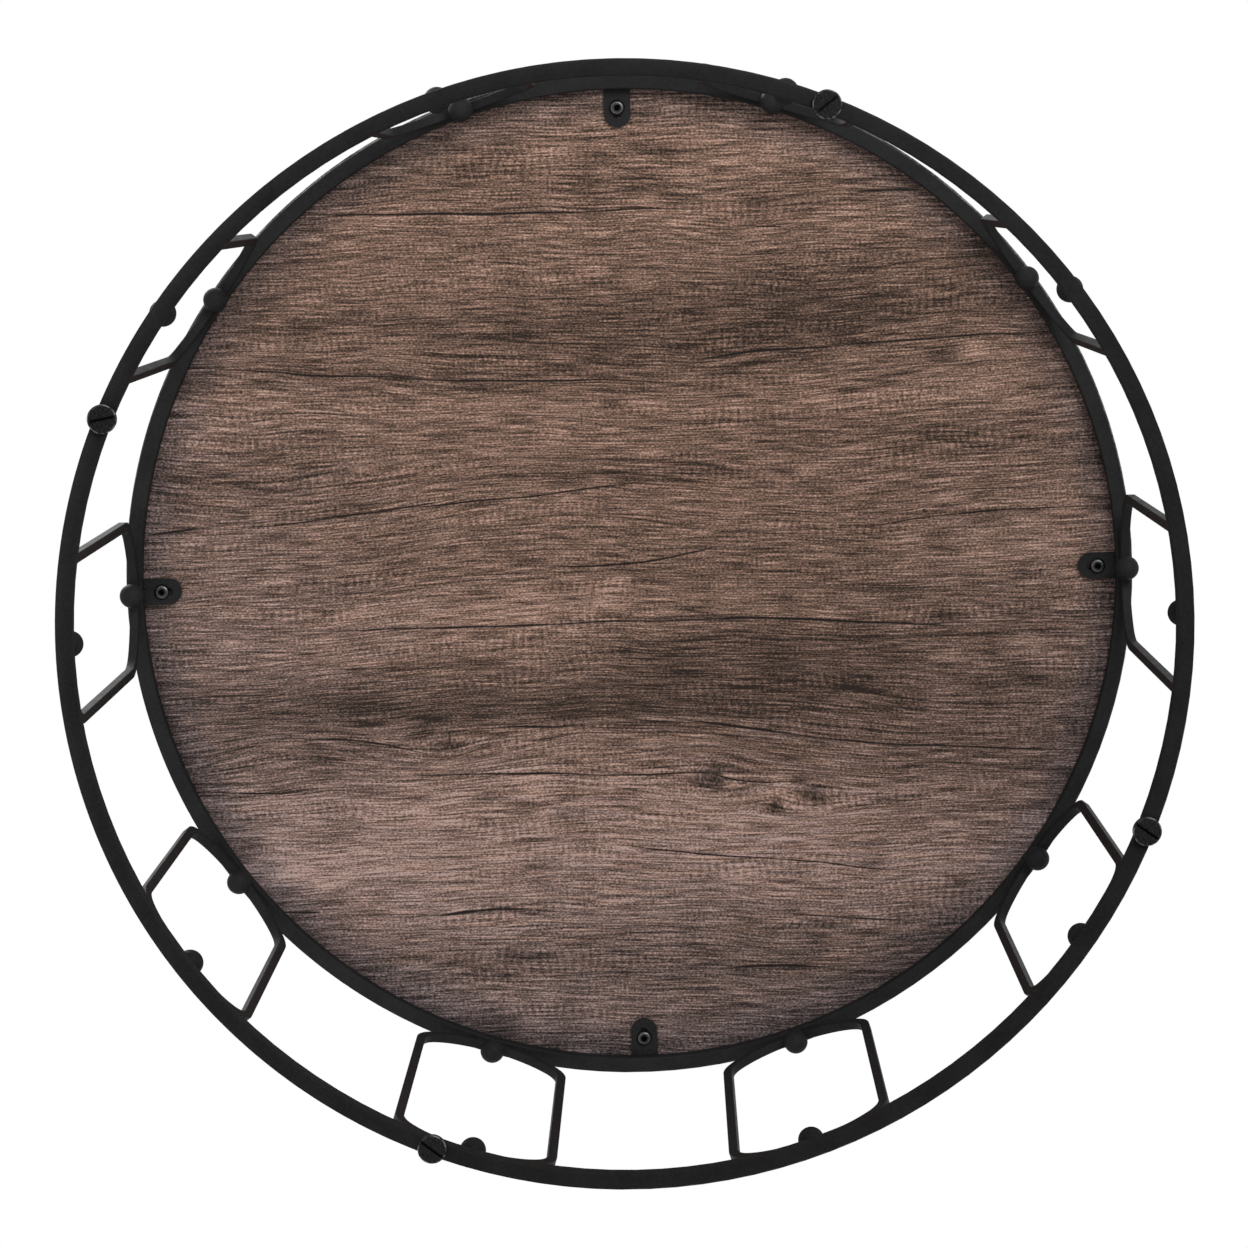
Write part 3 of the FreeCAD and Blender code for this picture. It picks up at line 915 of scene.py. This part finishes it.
@dataclass(frozen=True)
class WoodLaminate:
    """A pressed wood-decor laminate with its grain along X, with knots, cracks and patches, painted shade and
    grey next to the ring at its rim, and greyer patches of painted light.
    """

    name: str
    knots: tuple[Knot, ...] = ()
    cracks: tuple[Crack, ...] = ()
    patches: tuple[Patch, ...] = ()
    # The greys are broad patches of a painted, more neutral light.
    greys: tuple[Patch, ...] = ()
    leans: tuple[Patch, ...] = ()
    rim: float = 392.0 * MM
    rim_width: float = 42.0 * MM
    rim_painted_shade: float = 0.0
    rim_painted_grey: float = 0.0
    offset: tuple[float, float, float] = (0.0, 0.0, 0.0)
    tones: WoodTones = WoodTones()
    contrast: float = 1.0
    relief: float = 0.2 * MM
    knot_dark: float = 0.4
    crack_depth: float = 2.0
    gloss_tones: tuple[float, float] = (0.2, 0.8)
    roughness: tuple[float, float] = (0.68, 0.56)
    specular: float = 0.13

    def flat(self, tree: Tree) -> Socket:
        """The decor's own plane: X along the grain and Y across it."""
        return tree.vector("MULTIPLY", object_place(tree), FLAT)

    def knotted(self, tree: Tree, place: Socket) -> tuple[Socket, Feed]:
        """Bend the grain round the knots.

        Args:
            tree: The material's tree.
            place: The plain coordinates.

        Returns:
            The bent coordinates and the knots' mask.
        """
        bent, dark = place, 0.0
        for knot in self.knots:
            centre = (knot.across * MM, knot.along * MM, 0.0)
            knotted = tree.use(KnotMark(), Vector=bent, Place=centre, Size=knot.size * MM).outputs
            bent = knotted["Vector"]
            dark = tree.plus(dark, tree.times(knotted["Dark"], knot.depth))
        return bent, dark

    def leaned(self, tree: Tree, place: Socket) -> Socket:
        """Let the grain run askew over some patches, whose amounts are its slopes.

        Args:
            tree: The material's tree.
            place: The plain coordinates.

        Returns:
            The bent coordinates.
        """
        bent = place
        for lean in self.leans:
            slope = self.patched(tree, bent, (0.0, 0.0, 0.0), (lean,), 0.0)
            away = tree.minus(tree.vector("DOT_PRODUCT", bent, ACROSS), lean.across * MM)
            bent = tree.vector("ADD", bent, tree.join(0.0, tree.times(away, slope)))
        return bent

    def cracked(self, tree: Tree, place: Socket, wood: bpy.types.Node) -> Feed:
        """The cracks' mask.

        Args:
            tree: The material's tree.
            place: The plain coordinates.
            wood: The wood's group, which makes the cracks wander.

        Returns:
            The mask.
        """
        marked = place
        for crack in self.cracks:
            start = Vector((*crack.start, 0.0)) * MM
            run = Vector((*crack.end, 0.0)) * MM - start
            node = tree.use(
                CrackMark(),
                Vector=marked,
                Wander=wood.outputs["Wander"],
                Uneven=wood.outputs["Uneven"],
                Start=tuple(start),
                Run=tuple(run),
                Sag=crack.sag * MM,
                Width=crack.width * MM,
            )
            marked = node.outputs["Vector"]
        return tree.vector("DOT_PRODUCT", marked, CARRIED)

    def patched(
        self, tree: Tree, place: Socket, smear: Feed, patches: Iterable[Patch], start: Feed
    ) -> Socket:
        """Add patches to a number.

        Args:
            tree: The material's tree.
            place: The flat coordinates.
            smear: What makes the patches ragged.
            patches: The patches.
            start: The number without them.

        Returns:
            The number with them.
        """
        marked = tree.vector("ADD", place, tree.join(0.0, 0.0, start))
        for patch in patches:
            node = tree.use(
                TonePatch(),
                Vector=marked,
                Smear=smear,
                Place=(patch.across * MM, patch.along * MM, 0.0),
                Reach=(patch.long * MM, patch.wide * MM, 1.0),
                Amount=patch.amount,
            )
            marked = node.outputs["Vector"]
        return tree.vector("DOT_PRODUCT", marked, CARRIED)

    def material(self) -> bpy.types.Material:
        """The laminate as a material.

        Returns:
            The new material.
        """
        material, tree, shader = new_material(self.name)
        place = self.flat(tree)
        bent, dark = self.knotted(tree, self.leaned(tree, place))
        shifted = tree.vector("ADD", bent, self.offset)
        wood = tree.use(SawnWood(), Vector=shifted, Contrast=self.contrast)
        cracks = self.cracked(tree, place, wood)
        smear = wood.outputs["Smear"]
        tone = self.patched(tree, place, smear, self.patches, wood.outputs["Tone"])
        tone = tree.minus(tone, tree.times(dark, self.knot_dark))
        reach = tree.vector("LENGTH", place)
        # Painted shade: the wood darkens and greys towards the ring at its rim.
        near_rim = tree.between(reach, self.rim - self.rim_width, self.rim)
        tone = tree.minus(tone, tree.times(near_rim, self.rim_painted_shade))
        brown = tree.ramp(tone, self.tones.stops)
        light = tree.vector("DOT_PRODUCT", brown, LUMINANCE)
        grey = self.patched(tree, place, smear, self.greys, tree.times(near_rim, self.rim_painted_grey))
        colour = tree.mix(grey, brown, tree.vector("MULTIPLY", PAINTED_GREY_TINT, tree.join(light, light, light)))
        colour = tree.mix(cracks, colour, self.tones.crack)
        height = tree.minus(wood.outputs["Height"], tree.times(cracks, self.crack_depth))
        tree.fill(
            shader,
            Base_Color=colour,
            Roughness=tree.between(wood.outputs["Tone"], *self.gloss_tones, *self.roughness),
            Normal=tree.bump(height, self.relief),
            Specular_IOR_Level=self.specular,
        )
        return material


@dataclass(frozen=True)
class WoodBand(WoodLaminate):
    """An edge band whose grain runs round the top."""

    radius: float = 0.4

    def flat(self, tree: Tree) -> Socket:
        """The band unrolled: X round the rim and Y up it."""
        across, along, up = tree.split(object_place(tree))
        return tree.join(tree.times(tree.math("ARCTAN2", along, across), self.radius), up)


@dataclass(frozen=True)
class ParticleBoard:
    """The pressed chips of a board's core."""

    name: str = "particle board"
    colour: Colour = (0.42, 0.30, 0.18)
    darkest: float = 0.55
    chips: tuple[float, float, float] = (260.0, 260.0, 700.0)
    chip_tones: tuple[float, float, float] = (0.3, 0.3, 0.3)
    chip_depth: float = 0.2 * MM
    roughness: float = 0.85

    def material(self) -> bpy.types.Material:
        """The board as a material.

        Returns:
            The new material.
        """
        material, tree, shader = new_material(self.name)
        spread = tree.vector("MULTIPLY", object_place(tree), self.chips)
        chips = tree.fill(tree.add("ShaderNodeTexVoronoi"), Vector=spread, Scale=1.0).outputs
        shade = tree.vector("DOT_PRODUCT", chips["Color"], self.chip_tones)
        darker = tuple(self.darkest * part for part in self.colour)
        tree.fill(
            shader,
            Base_Color=tree.mix(shade, darker, self.colour),
            Normal=tree.bump(chips["Distance"], self.chip_depth),
            Roughness=self.roughness,
        )
        return material


def dress(nodes: Iterable[bpy.types.Object], finish: bpy.types.Material) -> None:
    """Give nodes or pieces one finish.

    Args:
        nodes: The objects.
        finish: Their material.
    """
    for item in nodes:
        item.data.materials.clear()
        item.data.materials.append(finish)


def placed(name: str, data: bpy.types.ID) -> bpy.types.Object:
    """A new object at the origin, in the scene.

    Args:
        name: The object's name.
        data: Its mesh, light or camera.

    Returns:
        The new object.
    """
    item = bpy.data.objects.new(name, data)
    bpy.context.scene.collection.objects.link(item)
    return item


def poured(name: str, mesh: bmesh.types.BMesh) -> bpy.types.Mesh:
    """Turn a bmesh, which is used up, into a mesh.

    Args:
        name: The mesh's name.
        mesh: The bmesh.

    Returns:
        The new mesh.
    """
    data = bpy.data.meshes.new(name)
    mesh.to_mesh(data)
    mesh.free()
    return data


def new_piece(
    name: str, mesh: bmesh.types.BMesh, finish: bpy.types.Material, body: str
) -> bpy.types.Object:
    """Turn a bmesh into a piece that rides on a body.

    Args:
        name: The piece's name.
        mesh: Its shape, which is used up.
        finish: Its material.
        body: The body that it rides on.

    Returns:
        The new object.
    """
    bmesh.ops.recalc_face_normals(mesh, faces=mesh.faces)
    data = poured(name, mesh)
    data.shade_smooth()
    piece = placed(name, data)
    dress([piece], finish)
    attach(piece, body)
    log.info("%s rides on %s with %d faces", name, body, len(data.polygons))
    return piece


def centre_of(node: str) -> Vector:
    """The middle of a node's box."""
    low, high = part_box(node)
    return (low + high) / 2


@dataclass
class WeldBead:
    """A short rope of weld metal with ripples, thinner at both ends."""

    length: float
    radius: float
    fullness: int = 4
    ripples: int = 5
    ripple: float = 0.1
    sides: int = 10
    steps_per_ripple: int = 4

    def width_at(self, share: float) -> float:
        """The bead's radius along its run.

        Args:
            share: The place from 0 at its start to 1 at its end.

        Returns:
            The radius there.
        """
        belly = math.sqrt(max(0.0, 1.0 - (2.0 * share - 1.0) ** self.fullness))
        ripple = 1.0 + self.ripple * math.sin(FULL_TURN * self.ripples * share)
        return belly * ripple * self.radius

    def add_to(self, mesh: bmesh.types.BMesh, place: Matrix) -> None:
        """Add the bead to a mesh, as a turned profile.

        Args:
            mesh: The mesh.
            place: Where it goes; its run is the matrix's Z.
        """
        steps = self.ripples * self.steps_per_ripple
        before = set(mesh.verts)
        profile = []
        for step in range(steps + 1):
            share = step / steps
            profile.append(mesh.verts.new((self.width_at(share), 0.0, (share - 0.5) * self.length)))
        edges = [mesh.edges.new(pair) for pair in zip(profile, profile[1:])]
        bmesh.ops.spin(
            mesh,
            geom=[*profile, *edges],
            cent=(0, 0, 0),
            axis=(0, 0, 1),
            angle=FULL_TURN,
            steps=self.sides,
            use_merge=True,
        )
        added = [vert for vert in mesh.verts if vert not in before]
        bmesh.ops.remove_doubles(mesh, verts=added, dist=self.radius / MERGE_PARTS)
        added = [vert for vert in mesh.verts if vert not in before]
        bmesh.ops.transform(mesh, matrix=place, verts=added)


@dataclass
class Frame:
    """The black steel frame: rings, loops, balls and tabs, with their welds."""

    coat: PowderCoat = PowderCoat("black powder coat", (0.0172, 0.0174, 0.0180))
    bead_length: float = 13.0 * MM
    bead_radius: float = 1.1 * MM
    bead_out: float = 0.3
    tack_length: float = 4.5 * MM
    tack_radius: float = 1.3 * MM
    tack_spread: float = 4.4 * MM
    tack_in: float = 0.5
    loops: list[str] = field(default_factory=list)
    tabs: list[str] = field(default_factory=list)

    def build(self, nodes: dict[str, bpy.types.Object]) -> None:
        """Dress the frame's nodes and add its welds.

        Args:
            nodes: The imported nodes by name.
        """
        finish = self.coat.material()
        steel = ("bottom_ring", "top_ring", "loop_", "lower_ball_", "upper_ball_", "tab_")
        dress([item for name, item in nodes.items() if name.startswith(steel)], finish)
        self.loops = sorted(name for name in nodes if name.startswith("loop_"))
        self.tabs = sorted(name for name in nodes if name.startswith("tab_"))
        for ring in Ring:
            self.loop_welds(ring, finish)
        self.tab_welds(finish)

    def lay(self, mesh: bmesh.types.BMesh, bead: WeldBead, name: str, spot: Vector) -> None:
        """Lay a bead along a node's width.

        Args:
            mesh: The mesh of the welds.
            bead: The bead.
            name: The node.
            spot: The bead's middle, as if the node stood on the X axis.
        """
        centre = centre_of(name)
        turn = math.atan2(centre.y, centre.x)
        lie = Matrix.Translation(spot) @ Matrix.Rotation(math.pi / 2, 4, "X")
        bead.add_to(mesh, Matrix.Rotation(turn, 4, "Z") @ lie)

    def loop_welds(self, ring: Ring, finish: bpy.types.Material) -> None:
        """Beads along both sides of each loop where it meets a ring.

        Args:
            ring: The ring that the loops meet.
            finish: The coat, which covers the beads too.
        """
        low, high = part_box(ring.value)
        face = high.z if ring is Ring.LOWER else low.z
        first_low, first_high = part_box(self.loops[0])
        half_bar = (first_high.x - first_low.x) / 2
        middle = (first_high.x + first_low.x) / 2
        mesh = bmesh.new()
        bead = WeldBead(self.bead_length, self.bead_radius)
        for name in self.loops:
            for side in (-1.0, 1.0):
                out = side * (half_bar + self.bead_radius * self.bead_out)
                self.lay(mesh, bead, name, Vector((middle + out, 0.0, face)))
        new_piece(f"{ring.name.lower()}_ring_welds", mesh, finish, "frame")

    def tab_welds(self, finish: bpy.types.Material) -> None:
        """Two tacks at the root of each tab, on its lower face.

        Args:
            finish: The coat, which covers the tacks too.
        """
        low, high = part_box(self.tabs[0])
        root = high.x - self.tack_radius * self.tack_in
        mesh = bmesh.new()
        tack = WeldBead(self.tack_length, self.tack_radius, ripples=2)
        for name in self.tabs:
            for side in (-1.0, 1.0):
                self.lay(mesh, tack, name, Vector((root, side * self.tack_spread, low.z)))
        new_piece("tab_tacks", mesh, finish, "frame")


@dataclass
class Top:
    """The round wood-look top: two laminates on a core, with an edge band."""

    underside: WoodLaminate = WoodLaminate(
        "weathered oak decor, underside",
        knots=rows(
            Knot,
            (63, 166, 15, 0.35), (112, 187, 8, 0.4), (-150, 128, 16, 0.2), (146, 180, 13, 0.2),
            (290, -160, 3, 0.8), (236, -47, 3, 0.8), (328, 3, 2.5, 0.8),
        ),
        cracks=rows(
            Crack,
            ((62, -175), (164, -180), -1.8, 1.2), ((140, -180), (345, -189), -0.2, 0.8),
            ((186, -302), (239, -303), -0.5, 1.2), ((-239, -296), (31, -294), 2.0, 0.9),
            ((90, -280), (129, -276), 0.0, 0.8), ((-59, -11), (69, -23), 4.1, 1.0),
            ((-345, -177), (2, -158), 2.9, 0.9), ((201, -38), (382, -47), -3.5, 0.6),
            ((-259, 34), (-58, 36), 1.0, 0.9), ((-90, 37), (255, 46), -6.4, 1.0),
            ((-104, 116), (-56, 119), 0.0, 1.0), ((47, 116), (132, 131), -1.2, 1.2),
            ((108, 127), (351, 149), 3.6, 1.0), ((-264, 123), (-172, 135), -3.6, 1.1),
            ((-183, 154), (61, 158), 1.0, 0.9), ((60, 159), (119, 168), 3.4, 0.9),
            ((-375, 89), (-294, 85), -1.2, 1.0), ((-350, 162), (-273, 166), 0.0, 0.7),
            ((-163, 268), (-88, 267), -1.7, 1.3), ((-287, 263), (-258, 264), 0.0, 1.1),
            ((70, 320), (140, 320), -2.0, 1.4), ((-13, 216), (213, 243), 0.3, 0.7),
            ((121, 276), (207, 283), 0.0, 0.8), ((-382, -46), (-343, -50), 0.0, 1.0),
            ((-305, -48), (-154, -66), 1.4, 0.9), ((-182, -62), (10, -77), 1.6, 0.7),
        ),
        patches=rows(
            Patch,
            (0, -206, 400, 26, -0.18), (130, -182, 140, 28, -0.10), (190, -225, 90, 36, -0.08),
            (-20, -138, 300, 16, 0.07), (200, -113, 110, 13, -0.09), (310, -12, 60, 20, 0.08),
            (-150, 25, 250, 16, 0.10), (170, 62, 150, 40, -0.16), (-110, 103, 210, 14, -0.26),
            (-60, 84, 130, 14, -0.10), (-20, 178, 330, 26, 0.12), (0, 226, 420, 40, 0.28),
            (0, 310, 300, 22, -0.08), (59, 167, 13, 8, -0.38), (58, 167, 5, 3, 0.24),
            (112, 187, 4.5, 3.5, -0.5), (129, 167, 9, 4, -0.3), (148, 175, 16, 7, -0.25),
            (-213, 98, 24, 10, -0.3), (-164, 109, 14, 3.5, -0.5), (-170, 119, 10, 4, -0.35),
            (95, 203, 12, 2.5, -0.2), (-110, 178, 40, 12, -0.12), (-70, 196, 60, 8, -0.12),
            (22, 65, 26, 18, -0.18), (108, 70, 14, 12, -0.14), (166, 88, 26, 6, -0.15),
            (312, 84, 14, 8, -0.18), (-98, 305, 30, 3, -0.3), (40, -338, 26, 3, -0.4),
            # Four small dark spots round the screws, in the tabs' slots: painted shade.
            *((x, y, 5, 5, -0.6) for x, y in ((366, 0), (-366, 0), (0, 366), (0, -366))),
        ),
        leans=rows(
            Patch,
            (-180, -62, 190, 45, 0.11), (130, 135, 200, 40, -0.10), (-220, 128, 90, 25, -0.12),
            (-170, -168, 230, 35, -0.055),
        ),
        # Painted shade and grey next to the ring.
        rim_painted_shade=0.14,
        rim_painted_grey=0.3,
        # Broad greyer patches: a painted, more neutral light.
        greys=rows(
            Patch,
            (0, 400, 600, 250, 0.36), (-370, 70, 170, 230, 0.22), (350, 90, 130, 200, 0.12),
        ),
    )
    upper_side: WoodLaminate = WoodLaminate(
        "weathered oak decor, upper side",
        knots=rows(Knot, (-140, 90, 13, 0.6), (170, -120, 9, 0.7), (60, 220, 7, 0.7)),
        cracks=rows(
            Crack,
            ((-300, -40), (-60, -70), 2.0, 1.0), ((20, 60), (280, 30), -3.0, 0.9),
            ((-180, 240), (40, 225), 1.5, 0.9), ((-90, -260), (150, -240), 2.0, 0.9),
            ((120, 150), (310, 160), -1.5, 0.9),
        ),
        patches=rows(
            Patch,
            (-40, -150, 330, 30, 0.14), (60, 20, 300, 20, -0.16), (-120, 200, 260, 34, 0.12),
            (150, 110, 200, 16, -0.12), (0, -300, 260, 26, -0.1),
        ),
        offset=(3.1, 1.7, 0.0),
    )
    band: WoodBand = WoodBand(
        "grey edge band",
        offset=(5.3, 2.9, 0.0),
        tones=WoodTones(
            crack=(0.01, 0.01, 0.01),
            stops=(
                (0.0, (0.030, 0.029, 0.028)),
                (0.3, (0.072, 0.070, 0.068)),
                (0.5, (0.135, 0.131, 0.127)),
                (0.7, (0.215, 0.209, 0.203)),
                (1.0, (0.380, 0.371, 0.362)),
            ),
        ),
        contrast=0.85,
    )
    core: ParticleBoard = ParticleBoard()

    def build(self, nodes: dict[str, bpy.types.Object]) -> None:
        """Dress the layers of the top.

        Args:
            nodes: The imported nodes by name.
        """
        dress([nodes["lower_laminate"]], self.underside.material())
        dress([nodes["upper_laminate"]], self.upper_side.material())
        dress([nodes["edge_band"]], self.band.material())
        dress([nodes["top_core"]], self.core.material())
        log.info("the top's four layers are dressed")


@dataclass
class Fasteners:
    """The screws through the tabs and their inserts."""

    insert: BareMetal = BareMetal("brass", (0.62, 0.45, 0.19), 0.3)

    def build(self, nodes: dict[str, bpy.types.Object]) -> None:
        """Dress the screws and inserts.

        Args:
            nodes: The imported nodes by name.
        """
        low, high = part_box("screw_1")
        screws = SocketHead("black screws", circle=centre_of("screw_1").x, head=(high.x - low.x) / 2)
        dress([item for name, item in nodes.items() if name.startswith("screw_")], screws.material())
        dress([item for name, item in nodes.items() if name.startswith("insert_")], self.insert.material())
        log.info("the screws and inserts are dressed")


@dataclass
class Glides:
    """The levelling glides: coated pads, and stems that get their thread."""

    pad_colour: Colour = (0.016, 0.016, 0.0164)
    stem: BareMetal = BareMetal("zinc plated steel", (0.55, 0.56, 0.58), 0.28)
    pitch: float = 1.0 * MM
    thread_depth: float = 0.55 * MM
    turn_steps: int = 36

    def build(self, nodes: dict[str, bpy.types.Object]) -> None:
        """Dress the pads and make the threaded stems.

        Args:
            nodes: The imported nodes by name.
        """
        for name in sorted(name for name in nodes if name.startswith("glide_pad_")):
            low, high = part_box(name)
            axis = centre_of(name)
            coat = WornCoat(f"black {name}", self.pad_colour, axis=(axis.x, axis.y), rim=(high.x - low.x) / 2)
            dress([nodes[name]], coat.material())
        zinc = self.stem.material()
        for name in sorted(name for name in nodes if name.startswith("glide_stem_")):
            self.threaded_stem(name, zinc)

    def threaded_stem(self, node: str, finish: bpy.types.Material) -> None:
        """A stem with a helical thread in place of the plain one.

        Args:
            node: The plain stem's node.
            finish: The stem's material.
        """
        low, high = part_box(node)
        axis = centre_of(node)
        crest = (high.x - low.x) / 2
        root = crest - self.thread_depth
        turns = int((high.z - low.z) / self.pitch) - 1
        mesh = bmesh.new()
        profile = []
        for step in range(turns + 1):
            height = low.z + step * self.pitch
            profile.append(mesh.verts.new((root, 0.0, height)))
            if step < turns:
                profile.append(mesh.verts.new((crest, 0.0, height + self.pitch / 2)))
        edges = [mesh.edges.new(pair) for pair in zip(profile, profile[1:])]
        bmesh.ops.spin(
            mesh,
            geom=[*profile, *edges],
            cent=(0, 0, 0),
            axis=(0, 0, 1),
            dvec=(0, 0, self.pitch / self.turn_steps),
            angle=FULL_TURN,
            steps=self.turn_steps,
        )
        bmesh.ops.remove_doubles(mesh, verts=mesh.verts, dist=self.pitch / MERGE_PARTS)
        bmesh.ops.holes_fill(mesh, edges=[edge for edge in mesh.edges if edge.is_boundary], sides=0)
        bmesh.ops.translate(mesh, vec=(axis.x, axis.y, 0), verts=mesh.verts)
        number = node.rsplit("_", 1)[1]
        stem = new_piece(f"threaded_stem_{number}", mesh, finish, f"glide_{number}_stem")
        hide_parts(node)


@dataclass(frozen=True)
class Lamp:
    """A soft square lamp that shines at a point."""

    name: str
    place: tuple[float, float, float]
    side: float
    power: float
    aim: tuple[float, float, float] = (0.0, 0.0, 0.25)

    def build(self) -> None:
        """Hang the lamp."""
        data = bpy.data.lights.new(self.name, "AREA")
        data.size = self.side
        data.energy = self.power
        lamp = placed(self.name, data)
        lamp.location = self.place
        away = Vector(self.place) - Vector(self.aim)
        lamp.rotation_euler = away.to_track_quat("Z", "Y").to_euler()
        lamp.visible_camera = False
        log.info("%s hangs at %s", self.name, self.place)


@dataclass
class Studio:
    """The floor, the white surroundings, the lamps and the camera."""

    floor_side: float = 9.0
    floor_gap: float = 0.3 * MM
    floor_colour: Colour = (0.80, 0.80, 0.80)
    ambient: float = 0.45
    lamps: tuple[Lamp, ...] = (
        Lamp("key from below", (1.1, -1.6, -2.0), 1.2, 48.0),
        Lamp("fill from below", (-0.9, 1.0, -2.3), 2.0, 22.0),
        Lamp("lamp from above", (-1.4, -1.6, 2.4), 1.6, 60.0),
    )
    camera_place: tuple[float, float, float] = (0.0333, -0.3113, -2.6005)
    camera_aim: tuple[float, float, float] = (0.0870, -0.0200, 0.19)
    camera_up: tuple[float, float, float] = (0.026, -1.0, 0.0)
    focal_pixels: float = 3737.7
    middle_pixel: tuple[float, float] = (744.0, 574.0)

    def build(self) -> None:
        """Set up the whole studio."""
        self.floor()
        self.world()
        for lamp in self.lamps:
            lamp.build()
        self.camera()

    def rays(self, tree: Tree, *kinds: Ray) -> Socket:
        """A mask that is 1 for the named kinds of ray.

        Args:
            tree: The tree that reads it.
            kinds: The kinds of ray.

        Returns:
            The mask.
        """
        path = tree.add("ShaderNodeLightPath")
        mask: Feed = 0.0
        for kind in kinds:
            mask = tree.math("MAXIMUM", mask, path.outputs[kind.value])
        return mask

    def floor(self) -> None:
        """A pale floor that is seen from above and looked through from below."""
        mesh = bmesh.new()
        bmesh.ops.create_grid(mesh, x_segments=1, y_segments=1, size=self.floor_side / 2)
        bmesh.ops.translate(mesh, vec=(0, 0, -self.floor_gap), verts=mesh.verts)
        floor = placed("floor", poured("floor", mesh))
        material = bpy.data.materials.new("pale floor")
        material.use_nodes = True
        tree = Tree(material.node_tree)
        pale = tree.fill(tree.add("ShaderNodeBsdfDiffuse"), Color=self.floor_colour)
        clear = tree.add("ShaderNodeBsdfTransparent")
        behind = tree.add("ShaderNodeNewGeometry").outputs["Backfacing"]
        gone = tree.math("MAXIMUM", behind, self.rays(tree, Ray.SHADOW))
        mixed = tree.add("ShaderNodeMixShader")
        for socket, source in zip(mixed.inputs, (gone, pale.outputs[0], clear.outputs[0])):
            tree.feed(socket, source)
        tree.fill(tree.add("ShaderNodeOutputMaterial"), Surface=mixed.outputs[0])
        dress([floor], material)

    def world(self) -> None:
        """White surroundings to look at, and a softer light from them."""
        world = bpy.data.worlds.new("studio")
        bpy.context.scene.world = world
        world.use_nodes = True
        tree = Tree(world.node_tree)
        seen = self.rays(tree, Ray.CAMERA, Ray.GLOSSY, Ray.TRANSMISSION)
        strength = tree.between(seen, 0.0, 1.0, self.ambient, 1.0)
        light = tree.fill(tree.add("ShaderNodeBackground"), Color=(1.0, 1.0, 1.0), Strength=strength)
        tree.fill(tree.add("ShaderNodeOutputWorld"), Surface=light.outputs[0])

    def camera(self) -> None:
        """A camera at the photograph's viewing angle, under the table."""
        data = bpy.data.cameras.new("camera")
        data.sensor_width = SENSOR_WIDTH
        data.lens = self.focal_pixels / IMAGE_SIDE * SENSOR_WIDTH
        half = IMAGE_SIDE / 2
        data.shift_x = (half - self.middle_pixel[0]) / IMAGE_SIDE
        data.shift_y = (self.middle_pixel[1] - half) / IMAGE_SIDE
        camera = placed("camera", data)
        back = (Vector(self.camera_place) - Vector(self.camera_aim)).normalized()
        right = Vector(self.camera_up).cross(back).normalized()
        up = back.cross(right)
        turn = Matrix((right, up, back)).transposed().to_4x4()
        camera.matrix_world = Matrix.Translation(self.camera_place) @ turn
        bpy.context.scene.camera = camera


def main() -> None:
    """Build the table's looks and the studio."""
    logging.basicConfig(level=logging.INFO, format="%(name)s: %(message)s")
    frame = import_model()
    nodes = frame["nodes"]
    Frame().build(nodes)
    Top().build(nodes)
    Fasteners().build(nodes)
    Glides().build(nodes)
    Studio().build()
    bpy.context.scene.view_settings.view_transform = "Standard"


if __name__ == "__main__":
    main()
